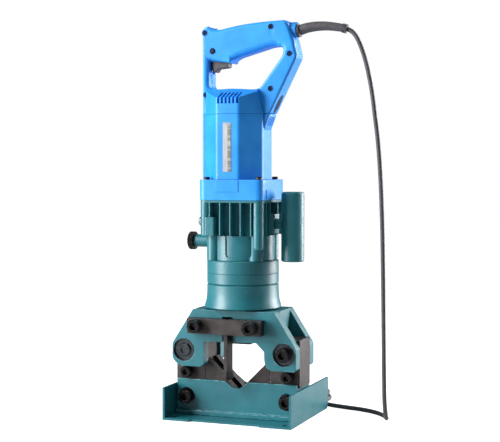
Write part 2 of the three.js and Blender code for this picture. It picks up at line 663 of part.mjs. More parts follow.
// ---- Gear housing: fins all round, corner bosses, the boss of the side grip ----
const housingTop = HOUSING_Z + HOUSING_HEIGHT;
const GEAR_FLOOR = HOUSING_Z + 8;
const GRIP_BOSS_HALF = 13;
const CORNER_BOSS_RADIUS = 7.5;
const GRIP_Z = HOUSING_Z + 15;
const wheelTip = (MODULE * WHEEL_TEETH) / 2 + TOOTH_TIP * MODULE;
const plan = (halfX, halfY, front, rear) =>
  outline([[-halfX, -halfY, front], [halfX, -halfY, front], [halfX, halfY, rear], [-halfX, halfY, rear]]);
function gearHousing() {
  const X = HOUSING_HALF_X;
  const Y = HOUSING_HALF_Y;
  const body = upright(plan(X - FIN_DEPTH, Y - FIN_DEPTH, 6, 18), HOUSING_Z, housingTop, 3);
  const rim = upright(plan(X, Y, 10, 24), housingTop - 3, housingTop, 3);
  const pieces = [body, rim];
  const t = FIN_THICKNESS / 2;
  const root = FIN_DEPTH + 4;
  const finTop = housingTop - 1;
  const finPlaces = (half) => {
    const last = Math.floor((half - 12) / FIN_PITCH);
    return Array.from({ length: 2 * last + 1 }, (_, i) => (i - last) * FIN_PITCH);
  };
  for (const x of finPlaces(X)) {
    pieces.push(box(x - t, x + t, -Y, -Y + root, HOUSING_Z, finTop));
    pieces.push(box(x - t, x + t, Y - root, Y, HOUSING_Z, finTop));
  }
  for (const y of finPlaces(Y)) {
    pieces.push(box(X - root, X, y - t, y + t, HOUSING_Z, finTop));
    pieces.push(box(-X, -X + root, y - t, y + t, HOUSING_Z, finTop));
  }
  for (const s of [-1, 1]) {
    pieces.push(rod(CORNER_BOSS_RADIUS, HOUSING_Z, finTop, s * (X - 8), -Y + 8, 12));
    pieces.push(rod(CORNER_BOSS_RADIUS, HOUSING_Z, finTop, s * (X - 13), Y - 13, 12));
  }
  const boss = GRIP_BOSS_HALF;
  pieces.push(box(-X + 9, -X + 23, -Y - 1.5, -Y + FIN_DEPTH + 3, HOUSING_Z, HOUSING_Z + 25));
  pieces.push(box(X - root, X + 3, -boss, boss, GRIP_Z - boss, GRIP_Z + boss));
  const room = wheelTip + 3.1;
  return cut(
    join(...pieces),
    upright(rectangle(MOTOR_CENTRE - 10, WHEEL_X + room - 1, -room, room, 6), GEAR_FLOOR, housingTop + 1, 3),
    rod(ECCENTRIC_ROOM, HOUSING_Z - 1, GEAR_FLOOR + 1, WHEEL_X, 0, 24),
    rodX(NECK_RADIUS - 1.5 + GAP, X - 7, X + 4, 0, GRIP_Z, 16),
    rodX(FILLER_RADIUS - 2 + GAP, -X - 2, -X + FIN_DEPTH + 4, FILLER_Y, FILLER_Z, 16),
  );
}
const NECK_RADIUS = 7;
const FILLER_RADIUS = 6;
const FILLER_Y = -22;
const FILLER_Z = HOUSING_Z + 18;
const fillerSeat = -HOUSING_HALF_X;
add("gear_housing", gearHousing(), teal);
add(
  "oil_filler_plug",
  join(
    rodX(FILLER_RADIUS, fillerSeat - 9, fillerSeat - GAP, FILLER_Y, FILLER_Z, 20),
    rodX(FILLER_RADIUS - 2, fillerSeat - 1, fillerSeat + FIN_DEPTH + 2, FILLER_Y, FILLER_Z, 16),
  ),
  brightSteel,
);

// ---- Side grip and the neck that carries it ----
const neckEnd = GRIP_REACH - GRIP_RADIUS;
const gripFoot = GRIP_Z - GRIP_BELOW_NECK;
add(
  "grip_neck",
  join(
    rodX(NECK_RADIUS, HOUSING_HALF_X + 3 + GAP, neckEnd + 6, 0, GRIP_Z),
    rodX(NECK_RADIUS - 1.5, HOUSING_HALF_X - 6, HOUSING_HALF_X + 5, 0, GRIP_Z, 16),
  ),
  teal,
);
add(
  "side_grip",
  cut(
    rod(GRIP_RADIUS, gripFoot, gripFoot + GRIP_LENGTH, GRIP_REACH, 0, 32),
    rodX(NECK_RADIUS + GAP, neckEnd - 8, neckEnd + 7, 0, GRIP_Z),
  ),
  teal,
);

// ---- Gears: involute teeth, the wheel turned by half a tooth so that the pair is in mesh ----
function gearOutline(teeth, turn) {
  const pitch = (MODULE * teeth) / 2;
  const base = pitch * Math.cos(PRESSURE_ANGLE);
  const root = pitch - 1.25 * MODULE;
  const tip = pitch + TOOTH_TIP * MODULE;
  const involute = (r) => {
    const a = Math.acos(Math.min(1, base / Math.max(r, base)));
    return Math.tan(a) - a;
  };
  const halfAtPitch = Math.PI / (2 * teeth) - BACKLASH / (2 * pitch);
  const halfAt = (r) => halfAtPitch + involute(pitch) - involute(r);
  const radii = [root, Math.max(base, root) + 0.05, pitch, tip];
  const points = [];
  for (let i = 0; i < teeth; i++) {
    const centre = (2 * Math.PI * i) / teeth + turn;
    for (const r of radii) points.push([r, centre - halfAt(r)]);
    for (const r of [...radii].reverse()) points.push([r, centre + halfAt(r)]);
  }
  const toPoint = ([r, a]) => new THREE.Vector2(r * Math.cos(a), r * Math.sin(a));
  return new THREE.Shape(points.map(toPoint));
}
const gearZ0 = GEAR_FLOOR + 8;
const gearZ1 = gearZ0 + 10;
const pinionTop = gearZ1 + 3;
add(
  "drive_wheel",
  cut(
    upright(gearOutline(WHEEL_TEETH, Math.PI / WHEEL_TEETH), gearZ0, gearZ1).translate(WHEEL_X, 0, 0),
    rod(PUMP_SHAFT_RADIUS + SLIP, gearZ0 - 1, gearZ1 + 1, WHEEL_X, 0, 20),
  ),
  brightSteel,
);
add(
  "eccentric_shaft",
  join(
    rod(PUMP_SHAFT_RADIUS, eccentricZ0, gearZ1 + 6, WHEEL_X, 0, 20),
    rod(ECCENTRIC_RADIUS, eccentricZ0 + 0.5, eccentricZ1, WHEEL_X + ECCENTRICITY, 0, 24),
  ),
  brightSteel,
);

// ---- Motor: flange, bearings, fan, armature, stator, housing ----
const LOWER_BEARING_Z = FLANGE_Z + 4;
const BEARING_RADIUS = 11;
const BEARING_HEIGHT = 7;
const FLANGE_SCREW = { x: 34, front: -38, rear: 33 };
const flangeTop = FLANGE_Z + FLANGE_HEIGHT;
const FAN_ROOM = 35;
const FAN_HEIGHT = 9;
const flangeScrewPlaces = [
  ["front_left", -FLANGE_SCREW.x - 3, FLANGE_SCREW.front],
  ["front_right", FLANGE_SCREW.x + 3, FLANGE_SCREW.front],
  ["rear_right", FLANGE_SCREW.x, FLANGE_SCREW.rear],
  ["rear_left", -FLANGE_SCREW.x - 3.5, FLANGE_SCREW.rear + 3],
];
const screwSeat = flangeTop - 1.5;
add(
  "motor_flange",
  cut(
    upright(plan(HOUSING_HALF_X + 0.5, HOUSING_HALF_Y + 0.5, 10, 22), FLANGE_Z, flangeTop, 4),
    rod(SHAFT_RADIUS + 2, FLANGE_Z - 1, flangeTop, MOTOR_CENTRE, 0, 20),
    rod(BEARING_RADIUS + GAP, LOWER_BEARING_Z, flangeTop, MOTOR_CENTRE, 0, 28),
    rod(FAN_ROOM, flangeTop - FAN_HEIGHT, flangeTop + 1, MOTOR_CENTRE, 0, 32),
    ...flangeScrewPlaces.flatMap(([, x, y]) => [
      rod(M5.head + 0.6, screwSeat, flangeTop + 1, x, y, 16),
      rod(M5.shank + GAP, FLANGE_Z + 6, flangeTop + 1, x, y, 12),
    ]),
  ),
  blue,
);
for (const [place, x, y] of flangeScrewPlaces) {
  add(
    "flange_screw_" + place,
    join(
      rod(M5.head, screwSeat + GAP, screwSeat + GAP + M5.height, x, y, 16),
      rod(M5.shank, FLANGE_Z + 8, screwSeat + 1, x, y, 12),
    ),
    blackSteel,
  );
}
const bearing = (z0, z1) => ring(BEARING_RADIUS, SHAFT_RADIUS + RUN, z0, z1, MOTOR_CENTRE);
add("lower_bearing", bearing(LOWER_BEARING_Z + GAP, LOWER_BEARING_Z + BEARING_HEIGHT), brightSteel);

function motorOutline(reach) {
  const left = MOTOR_CENTRE - MOTOR_HALF_X;
  const right = MOTOR_CENTRE + MOTOR_HALF_X;
  const shoulder = MOTOR_HALF_Y - (MOTOR_HALF_X - MOTOR_FLAT);
  const half = [
    [left - reach, -MOTOR_SPINE, 2], [left, -MOTOR_SPINE], [left, -shoulder, 3],
    [MOTOR_CENTRE - MOTOR_FLAT, -MOTOR_HALF_Y, 3], [MOTOR_CENTRE + MOTOR_FLAT, -MOTOR_HALF_Y, 3],
    [right, -shoulder, 3],
  ];
  const back = half.map(([x, y, r]) => [x, -y, r]).reverse();
  return outline([...half, ...back]);
}
const motorTop = MOTOR_Z + MOTOR_HEIGHT;
const MOTOR_SEAT = 5;
// The rear leg of the handle runs on down the housing as a wedge.
const legFoot = () => {
  const right = MOTOR_CENTRE + MOTOR_HALF_X;
  return slab(
    outline([
      [right - 2, motorTop - LEG_RUN_OUT], [right, motorTop - LEG_RUN_OUT], [right + LEG_OVERHANG, motorTop],
      [right - 2, motorTop],
    ]),
    -HANDLE_HALF_DEPTH, HANDLE_HALF_DEPTH,
  );
};
add(
  "motor_housing",
  cut(
    join(upright(motorOutline(MOTOR_SPINE_REACH), MOTOR_Z, motorTop, 2), legFoot()),
    rod(STATOR_RADIUS + GAP, MOTOR_Z - 1, motorTop - MOTOR_SEAT, MOTOR_CENTRE, 0, 36),
    rod(20, motorTop - MOTOR_SEAT - 1, motorTop + 1, MOTOR_CENTRE, 0, 28),
  ),
  blue,
);
const STATOR_Z = MOTOR_Z + 14;
const STATOR_HEIGHT = 48;
add(
  "stator",
  ring(STATOR_RADIUS, ARMATURE_RADIUS + 0.8, STATOR_Z, STATOR_Z + STATOR_HEIGHT, MOTOR_CENTRE, 0, 36),
  copper,
);
const shaftFoot = gearZ0 - 2;
const UPPER_BEARING_Z = HANDLE_Z + 3;
add(
  "armature",
  join(
    rod(SHAFT_RADIUS, pinionTop - 1, UPPER_BEARING_Z + BEARING_HEIGHT - 1, MOTOR_CENTRE, 0, 20),
    rod(ARMATURE_RADIUS, STATOR_Z + 1, STATOR_Z + STATOR_HEIGHT - 1, MOTOR_CENTRE, 0, 32),
    upright(gearOutline(PINION_TEETH, 0), shaftFoot, pinionTop).translate(MOTOR_CENTRE, 0, 0),
  ),
  brightSteel,
);
function coolingFan() {
  const z0 = flangeTop - FAN_HEIGHT + 1.5;
  const z1 = flangeTop - 1;
  const blades = [];
  const count = 11;
  for (let i = 0; i < count; i++) {
    blades.push(box(9, FAN_ROOM - 3, -0.8, 0.8, z0, z1).rotateZ((2 * Math.PI * i) / count));
  }
  const disc = rod(FAN_ROOM - 2.5, z0, z0 + 1.6, 0, 0, 28);
  const hub = rod(10, z0, z1, 0, 0, 20);
  const bore = rod(SHAFT_RADIUS + SLIP, z0 - 1, z1 + 1, 0, 0, 20);
  return cut(join(disc, hub, ...blades), bore).translate(MOTOR_CENTRE, 0, 0);
}
add("cooling_fan", coolingFan(), darkPlastic);
const COMMUTATOR_Z = STATOR_Z + STATOR_HEIGHT + 3;
const COMMUTATOR_RADIUS = 12;
add(
  "commutator",
  ring(COMMUTATOR_RADIUS, SHAFT_RADIUS + SLIP, COMMUTATOR_Z, COMMUTATOR_Z + 13, MOTOR_CENTRE, 0, 24),
  copper,
);
for (const [side, s] of [["front", -1], ["rear", 1]]) {
  const ys = [s * (COMMUTATOR_RADIUS + 0.6), s * (STATOR_RADIUS - 4)].sort((a, b) => a - b);
  add(
    "carbon_brush_" + side,
    box(MOTOR_CENTRE - 3.5, MOTOR_CENTRE + 3.5, ...ys, COMMUTATOR_Z + 2.5, COMMUTATOR_Z + 10),
    darkPlastic,
  );
}
add("upper_bearing", bearing(UPPER_BEARING_Z, UPPER_BEARING_Z + BEARING_HEIGHT - GAP), brightSteel);

// ---- Handle: two shells that meet on the plane y = 0, with a D-shaped opening ----
const LEFT_EDGE = MOTOR_CENTRE - MOTOR_HALF_X - MOTOR_SPINE_REACH;
const RIGHT_EDGE = MOTOR_CENTRE + MOTOR_HALF_X;
const h = (z) => HANDLE_Z + z;
const handleLoop = () => outline([
  [LEFT_EDGE, h(0)], [RIGHT_EDGE + LEG_OVERHANG, h(0), 4], [81.5, h(74.5), 4], [77, h(96), 4],
  [66.5, h(HANDLE_HEIGHT), 6], [32.7, h(122.3), 20], [1.5, h(119.6), 20], [-33, h(113.2), 12],
  [-47, h(119.5), 5], [LEFT_EDGE, h(115), 4],
]);
const fingerOpening = () => outline([
  [-44.1, h(33.5), 10], [-9, h(35), 10], [27.5, h(32), 8], [61.5, h(78), 5], [61, h(89), 8],
  [46, h(89.6), 8], [-5, h(75.5), 8], [-14.4, h(68.5), 2], [-18.2, h(70), 1], [-44.1, h(72.5)],
]);
const TRIGGER_HALF_DEPTH = 7;
const triggerSlot = () => outline([
  [-46.5, h(56)], [-43.9, h(56)], [-43.9, h(71)], [-17.2, h(69)], [-12.5, h(71)], [-12.5, h(86)],
  [-20, h(91)], [-46.5, h(91)],
]);
const gripCavity = () => outline([
  [-47, h(91)], [-12.6, h(91), 2], [-12.6, h(86), 1], [8, h(84)], [48, h(96)], [61, h(95)], [68, h(76)],
  [38, h(22)], [44, h(20)], [75, h(76)], [70, h(94)], [61, h(117)], [33, h(116)], [-30, h(106)],
  [-47, h(108)],
]);
const LOCK_X = -38.5;
const LOCK_Z = h(85.4);
const LOCK_RADIUS = 3.6;
const LOCK_PROUD = 1.8;
function handleShell() {
  const opening = slab(fingerOpening(), -MOTOR_HALF_Y - 1, MOTOR_HALF_Y + 1);
  const loop = new THREE.ExtrudeGeometry(handleLoop(), {
    depth: HANDLE_HALF_DEPTH - HANDLE_EDGE,
    bevelEnabled: true,
    bevelThickness: HANDLE_EDGE,
    bevelSize: HANDLE_EDGE,
    bevelOffset: -HANDLE_EDGE,
    bevelSegments: 2,
    curveSegments: 4,
  }).rotateX(Math.PI / 2);
  const crown = upright(motorOutline(MOTOR_SPINE_REACH), HANDLE_Z, h(31.5), 2);
  const crownCut = slab(
    outline([[RIGHT_EDGE + 1, h(10)], [MOTOR_CENTRE + MOTOR_FLAT, h(32)], [RIGHT_EDGE + 1, h(32)]]),
    -MOTOR_HALF_Y - 1, MOTOR_HALF_Y + 1,
  );
  const half = box(-200, 200, -GAP / 2, 200, HANDLE_Z - 100, HANDLE_Z + 300);
  return cut(
    join(loop, cut(crown, crownCut)),
    half,
    opening,
    slab(gripCavity(), -HANDLE_HALF_DEPTH + HANDLE_WALL, 5),
    slab(triggerSlot(), -TRIGGER_HALF_DEPTH - 0.6, 5),
    rod(STATOR_RADIUS - 6, HANDLE_Z + 12, h(26), MOTOR_CENTRE, 0, 28),
    rod(BEARING_RADIUS + GAP, HANDLE_Z - 1, HANDLE_Z + 13, MOTOR_CENTRE, 0, 28),
    rodX(BOOT_ROOT_RADIUS + GAP, 62, 90, 0, BOOT_Z, 20),
  );
}
const BOOT_ROOT_RADIUS = 7.5;
const BOOT_Z = h(110.5);
add(
  "handle_shell_front",
  cut(handleShell(), rodY(LOCK_RADIUS + RUN, -HANDLE_HALF_DEPTH - 1, 1, LOCK_X, LOCK_Z, 20)),
  blue,
);
add("handle_shell_rear", mirrorY(handleShell()), blue);

const TRIGGER_PIVOT = { x: -17, z: h(77) };
add(
  "trigger",
  slab(
    outline([
      [-43.4, h(71), 1], [-43.4, h(64), 3], [-41.3, h(57.5), 3], [-36, h(57.5), 3], [-34.5, h(62), 4],
      [-18.5, h(63.5), 2], [-18.5, h(69)], [-14, h(72.5)], [-14, h(79), 2], [-43.4, h(79), 2],
    ]),
    -TRIGGER_HALF_DEPTH, TRIGGER_HALF_DEPTH, 4,
  ),
  darkPlastic,
);
add("trigger_switch", box(-34, -15, -8, 8, h(91.5), h(105)), darkPlastic);
const lockFace = -HANDLE_HALF_DEPTH - LOCK_PROUD;
add(
  "lock_button",
  rodY(LOCK_RADIUS, lockFace, -HANDLE_HALF_DEPTH + HANDLE_WALL + 2, LOCK_X, LOCK_Z, 20),
  navy,
);

// ---- Cord: strain relief, the hanging lead, the coil, the tail and the plug ----
const BOOT_START = 66;
const bootPath = [
  [79, 0, BOOT_Z - 0.5], [90, 0, BOOT_Z + 2.2], [103, 0, BOOT_Z + 3.8], [117, 0, BOOT_Z + 3.7],
  [131, 0, BOOT_Z + 1.9], [143, 0, BOOT_Z - 0.8],
].map((p) => new THREE.Vector3(...p));
function cordBoot() {
  return join(
    extrudedAlong(roundSection(BOOT_RADIUS, 14), bootPath, 10),
    rodX(BOOT_ROOT_RADIUS, BOOT_START, 76, 0, BOOT_Z, 20),
    rodX(BOOT_ROOT_RADIUS + 3, 76, 79.5, 0, BOOT_Z, 20),
  );
}
add("cord_boot", cordBoot(), darkRubber);

const cordPath = [
  [144.1, 0, 518.2], [151, 0, 515.2], [157.5, 0, 508], [163.5, 0, 496], [169.5, 0, 479],
  [175, 0, 457], [179.5, 0, 433], [183.2, 0, 405], [186.7, 0, 378], [190, 0, 340], [193, 0, 280],
  [195, 0, 200], [196, 0.5, 120], [196.5, 2, 60], [196.2, 7, 27], [195, 18, 10], [192, 33, 4.4],
  [184, 52, 3.3], [168, 70, 3.3], [144, 84, 3.3], [115, 93, 3.3], [90, 103, 3.3], [76, 115, 3.3],
  [71.2, 128, 3.3],
].map((p) => new THREE.Vector3(...p));
add("cord", extrudedAlong(roundSection(CORD_DIAMETER / 2, 8), cordPath, 74), darkRubber);

const COIL_CENTRE = { x: 30, y: 154 };
const coilHalf = (COIL_TURNS_ACROSS * CORD_DIAMETER) / 2;
const coilHeight = COIL_LAYERS * CORD_DIAMETER;
add(
  "cord_coil",
  new THREE.LatheGeometry(
    [[-1, 0], [1, 0], [1, 1], [-1, 1], [-1, 0]].map(([a, b]) =>
      new THREE.Vector2(COIL_MEAN_RADIUS + a * coilHalf, b * coilHeight)),
    32,
  ).rotateX(Math.PI / 2).translate(COIL_CENTRE.x, COIL_CENTRE.y, GAP / 2),
  darkRubber,
);

const tailPath = [
  [-19.3, 160.9, 3.3], [-22.6, 151.2, 3.4], [-29.4, 143.4, 4.2], [-38.6, 138.7, 6.5], [-46, 137.7, 8.6],
  [-56, 137.7, 10.9], [-64, 137.7, 11.8],
].map((p) => new THREE.Vector3(...p));
add("cord_tail", extrudedAlong(roundSection(CORD_DIAMETER / 2, 8), tailPath, 10), darkRubber);

const PLUG = {
  x: -64.4, y: 137.7, z: 11.8, neck: 14, body: 40, halfWidth: 17, halfHeight: 11.5,
  pinRadius: 2.3, pinLength: 19, pinSpread: 9.5,
};
function cordPlug() {
  const { x, y, z } = PLUG;
  const back = x - PLUG.neck;
  const front = back - PLUG.body;
  const body = new THREE.ExtrudeGeometry(
    rectangle(-PLUG.halfHeight, PLUG.halfHeight, -PLUG.halfWidth, PLUG.halfWidth, 7),
    { depth: PLUG.body, bevelEnabled: false, curveSegments: 4 },
  ).rotateY(-Math.PI / 2).translate(back, y, z);
  const pins = [-1, 1].map((s) =>
    rodX(PLUG.pinRadius, front - PLUG.pinLength, front + 1, y + s * PLUG.pinSpread, z, 12));
  return join(body, rodX(5, back - 1, x, y, z, 16), ...pins);
}
add("cord_plug", cordPlug(), darkPlastic);

export default shear;
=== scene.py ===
"""The looks of a portable electric-hydraulic shear for angle steel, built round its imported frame.

Metres, +Z up, the origin on the ram axis under the base tray. Sizes in the making code are in
millimetres and go through mm(). +X runs along the frame plates, -Y is the front.
"""

import math

import bmesh
import bpy
from mathutils import Matrix, Vector


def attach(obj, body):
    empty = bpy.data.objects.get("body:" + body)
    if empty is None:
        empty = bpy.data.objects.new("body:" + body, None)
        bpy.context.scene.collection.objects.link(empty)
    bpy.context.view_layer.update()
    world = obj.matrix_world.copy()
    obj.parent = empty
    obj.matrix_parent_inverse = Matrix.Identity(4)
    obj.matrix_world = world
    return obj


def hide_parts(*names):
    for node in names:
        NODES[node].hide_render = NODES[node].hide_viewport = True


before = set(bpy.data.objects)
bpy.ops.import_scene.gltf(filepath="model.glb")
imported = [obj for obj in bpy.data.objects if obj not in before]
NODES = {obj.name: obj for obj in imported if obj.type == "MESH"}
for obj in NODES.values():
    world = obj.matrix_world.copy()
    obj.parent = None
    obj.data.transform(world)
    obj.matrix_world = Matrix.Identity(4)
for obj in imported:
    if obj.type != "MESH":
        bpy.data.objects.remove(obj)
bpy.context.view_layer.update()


def mm(*values):
    """Millimetres to metres: one number, or a vector of three."""
    return values[0] / 1000 if len(values) == 1 else Vector(values) / 1000


# ---- Camera ----
CAMERA_PLACE = mm(601.3, -1550.8, 335.4)
CAMERA_HEADING = math.radians(20.87)
CAMERA_DIP = math.radians(2.405)
CAMERA_LENS = 88.6


def make_camera():
    data = bpy.data.cameras.new("camera")
    data.sensor_width = 36
    data.lens = CAMERA_LENS
    data.clip_start = 0.05
    camera = bpy.data.objects.new("camera", data)
    bpy.context.scene.collection.objects.link(camera)
    level = math.cos(CAMERA_DIP)
    forward = Vector((
        -math.sin(CAMERA_HEADING) * level, math.cos(CAMERA_HEADING) * level, -math.sin(CAMERA_DIP),
    ))
    camera.location = CAMERA_PLACE
    camera.rotation_euler = forward.to_track_quat("-Z", "Y").to_euler()
    bpy.context.scene.camera = camera


make_camera()


# ---- Node trees ----
def add(tree, kind, settings=None, inputs=None):
    """Adds a node. An input is named or numbered, and takes a value, another node's output, or a list
    of outputs that it joins."""
    node = tree.nodes.new(kind)
    for name, value in (settings or {}).items():
        setattr(node, name, value)
    for name, value in (inputs or {}).items():
        if isinstance(value, (bpy.types.NodeSocket, list)):
            for output in value if isinstance(value, list) else [value]:
                tree.links.new(output, node.inputs[name])
        else:
            node.inputs[name].default_value = value
    return node


def colour(hex_code):
    """An sRGB hex value as linear RGBA."""
    parts = [int(hex_code[i:i + 2], 16) / 255 for i in (1, 3, 5)]
    linear = [c / 12.92 if c <= 0.04045 else ((c + 0.055) / 1.055) ** 2.4 for c in parts]
    return (*linear, 1.0)


def per_mm(size):
    """The scale of a noise or wave texture whose features are this many millimetres across."""
    return 1000 / size


def new_material(name, **fixed):
    """A material with one Principled shader. fixed values go straight on the shader's sockets."""
    material = bpy.data.materials.new(name)
    material.use_nodes = True
    tree = material.node_tree
    tree.nodes.clear()
    settings = {k.replace("_", " "): v for k, v in fixed.items()}
    shader = add(tree, "ShaderNodeBsdfPrincipled", inputs=settings)
    add(tree, "ShaderNodeOutputMaterial", inputs={"Surface": shader.outputs[0]})
    coords = add(tree, "ShaderNodeTexCoord").outputs["Object"]
    return material, tree, shader, coords


# The roughness of every noise: how strong its finer layers are.
SPECKLE = 0.55


def finish(name, dark, light, tone, gloss, grain, drawn=None, edge_wear_and_highlight=None, **fixed):
    """A finish from sizes in millimetres. tone: cloud size, and the noise values where each colour is
    plain. gloss: patch size, or None where it follows the grain, and two roughnesses. grain: size,
    strength and depth. drawn: the grain's scale along X, Y and Z. The edge patches (the argument after
    drawn): size, amount and colour of pale patches on the rounded edges: wear, and on the enamel and
    nylon also a painted highlight."""
    material, tree, shader, coords = new_material(name, **fixed)
    grained = coords
    if drawn:
        grained = add(tree, "ShaderNodeMapping", inputs={"Vector": coords, "Scale": drawn}).outputs[0]
    noises = {"tone": (tone[0], 3.0, coords), "grain": (grain[0], 2.0, grained)}
    if edge_wear_and_highlight:
        noises["edge_wear_and_highlight"] = (edge_wear_and_highlight[0], 4.0, coords)
    if gloss[0]:
        noises["gloss"] = (gloss[0], 3.0, coords)
    value = {}
    for part, (size, detail, where) in noises.items():
        value[part] = add(
            tree, "ShaderNodeTexNoise",
            inputs={"Vector": where, "Scale": per_mm(size), "Detail": detail, "Roughness": SPECKLE},
        ).outputs["Fac"]
    share = add(tree, "ShaderNodeMapRange", inputs={0: value["tone"], 1: tone[1], 2: tone[2]}).outputs[0]
    body = add(
        tree, "ShaderNodeMix", {"data_type": "RGBA"}, {0: share, 6: colour(dark), 7: colour(light)},
    ).outputs[2]
    # Pale patches on the rounded edges: wear on the black steel, and on the enamel and the nylon a painted
    # highlight as well as wear.
    if edge_wear_and_highlight:
        edge = add(tree, "ShaderNodeAttribute", {"attribute_name": "edge"}).outputs["Fac"]
        patch = add(tree, "ShaderNodeMapRange", inputs={0: value["edge_wear_and_highlight"], 1: 0.45, 2: 0.62, 4: edge_wear_and_highlight[1]})
        edge_wear_and_highlight_mask = add(tree, "ShaderNodeMath", {"operation": "MULTIPLY"}, {0: edge, 1: patch.outputs[0]})
        body = add(
            tree, "ShaderNodeMix", {"data_type": "RGBA"}, {0: edge_wear_and_highlight_mask.outputs[0], 6: body, 7: colour(edge_wear_and_highlight[2])},
        ).outputs[2]
    tree.links.new(body, shader.inputs["Base Color"])
    patchy = value.get("gloss", value["grain"])
    rough = add(tree, "ShaderNodeMapRange", inputs={0: patchy, 1: 0.3, 2: 0.7, 3: gloss[1], 4: gloss[2]})
    tree.links.new(rough.outputs[0], shader.inputs["Roughness"])
    bump = add(
        tree, "ShaderNodeBump",
        inputs={"Height": value["grain"], "Strength": grain[1], "Distance": mm(grain[2])},
    )
    tree.links.new(bump.outputs[0], shader.inputs["Normal"])
    return material


def wound_copper():
    """Varnished copper winding: warm metal with one wire beside the next."""
    material, tree, shader, coords = new_material("varnished_copper_wire", Metallic=0.9, Coat_Weight=0.4)
    wave = add(
        tree, "ShaderNodeTexWave", {"wave_type": "RINGS", "rings_direction": "Z"},
        {"Vector": coords, "Scale": per_mm(2.5), "Distortion": 0.6},
    ).outputs["Fac"]
    # Dark in the creases between the wires and light on their crowns: painted shade between the wires.
    body = add(
        tree, "ShaderNodeMix", {"data_type": "RGBA"}, {0: wave, 6: colour("#7A4420"), 7: colour("#C4824C")},
    )
    tree.links.new(body.outputs[2], shader.inputs["Base Color"])
    rough = add(tree, "ShaderNodeMapRange", inputs={0: wave, 3: 0.32, 4: 0.48})
    tree.links.new(rough.outputs[0], shader.inputs["Roughness"])
    bump = add(tree, "ShaderNodeBump", inputs={"Height": wave, "Strength": 0.4, "Distance": mm(0.2)})
    tree.links.new(bump.outputs[0], shader.inputs["Normal"])
    return material


def anodised_label():
    """Brushed anodised aluminium plate: fine upright lines, with plain printed blocks and no lettering."""
    material, tree, shader, coords = new_material("anodised_aluminium_label", Metallic=0.55)
    upright = add(tree, "ShaderNodeMapping", inputs={"Vector": coords, "Scale": (1.0, 1.0, 0.05)})
    brushed = add(
        tree, "ShaderNodeTexNoise",
        inputs={"Vector": upright.outputs[0], "Scale": per_mm(0.7), "Detail": 2.0, "Roughness": SPECKLE},
    ).outputs["Fac"]
    metal = add(
        tree, "ShaderNodeMix", {"data_type": "RGBA"},
        {0: brushed, 6: colour("#989BA0"), 7: colour("#BEC1C4")},
    )
    # One dark printed band down the right of the plate, in blocks about 5 mm high.
    across = add(tree, "ShaderNodeSeparateXYZ", inputs={0: coords}).outputs["X"]
    band = add(tree, "ShaderNodeMapRange", inputs={0: across, 1: mm(-5.6), 2: mm(-4.8)})
    level = add(tree, "ShaderNodeMapping", inputs={"Vector": coords, "Scale": (0.05, 0.05, 1.0)})
    blocks = add(
        tree, "ShaderNodeTexNoise",
        inputs={"Vector": level.outputs[0], "Scale": per_mm(5.0), "Detail": 1.0, "Roughness": SPECKLE},
    )
    printed = add(
        tree, "ShaderNodeMapRange", inputs={0: blocks.outputs["Fac"], 1: 0.42, 2: 0.5, 3: 0.35, 4: 1.0},
    )
    ink = add(
        tree, "ShaderNodeMath", {"operation": "MULTIPLY"}, {0: band.outputs[0], 1: printed.outputs[0]},
    )
    body = add(
        tree, "ShaderNodeMix", {"data_type": "RGBA"},
        {0: ink.outputs[0], 6: metal.outputs[2], 7: colour("#7E7A72")},
    )
    tree.links.new(body.outputs[2], shader.inputs["Base Color"])
    rough = add(tree, "ShaderNodeMapRange", inputs={0: brushed, 1: 0.3, 2: 0.7, 3: 0.3, 4: 0.44})
    tree.links.new(rough.outputs[0], shader.inputs["Roughness"])
    bump = add(tree, "ShaderNodeBump", inputs={"Height": brushed, "Strength": 0.15, "Distance": mm(0.02)})
    tree.links.new(bump.outputs[0], shader.inputs["Normal"])
    return material


def studio_paper():
    """Matt white paper sweep under the object."""
    material, tree, shader, coords = new_material("white_paper", Metallic=0.0, Roughness=0.9)
    cloud = add(
        tree, "ShaderNodeTexNoise",
        inputs={"Vector": coords, "Scale": per_mm(120.0), "Detail": 3.0, "Roughness": SPECKLE},
    )
    body = add(
        tree, "ShaderNodeMix", {"data_type": "RGBA"},
        {0: cloud.outputs["Fac"], 6: colour("#A2A2A2"), 7: colour("#ACACAC")},
    )
    tree.links.new(body.outputs[2], shader.inputs["Base Color"])
    # The sweep is lit until it looks plain white, and sheds only a little of that on the object.
    seen = add(tree, "ShaderNodeLightPath").outputs["Is Camera Ray"]
    glow = add(tree, "ShaderNodeMapRange", inputs={0: seen, 3: 0.06, 4: 1.0})
    tree.links.new(glow.outputs[0], shader.inputs["Emission Strength"])
    return material


# Stoved enamel, sprayed on machined steel and cast iron: glossy, with pale teal patches on the rounded edges
# that are partly wear and partly a painted highlight.
# Its orange peel is about 1 mm across; 2.5 mm here, so that it still shows at a distance.
TEAL = finish(
    "teal_stoved_enamel", "#15606B", "#1B6D78", (45, 0.35, 0.65), (12, 0.34, 0.46), (2.5, 0.35, 0.06),
    edge_wear_and_highlight=(6, 0.55, "#8FB9BF"), Metallic=0.0, Coat_Weight=0.2, Coat_Roughness=0.3,
)
# Injection-moulded glass-filled nylon with a spark-eroded grain: satin, in a slightly cloudy colour.
# The eroded grain is about 0.3 mm; 0.9 mm here, so that it still shows.
# Its pale blue patches on the rounded edges are partly wear and partly a painted highlight.
BLUE = finish(
    "blue_glass_filled_nylon", "#1C84DC", "#2590E4", (30, 0.35, 0.65), (4, 0.36, 0.46), (0.9, 0.3, 0.04),
    edge_wear_and_highlight=(5, 0.35, "#7CC4FA"), Metallic=0.0, Coat_Weight=0.1, Coat_Roughness=0.3, Specular_IOR_Level=0.36,
)
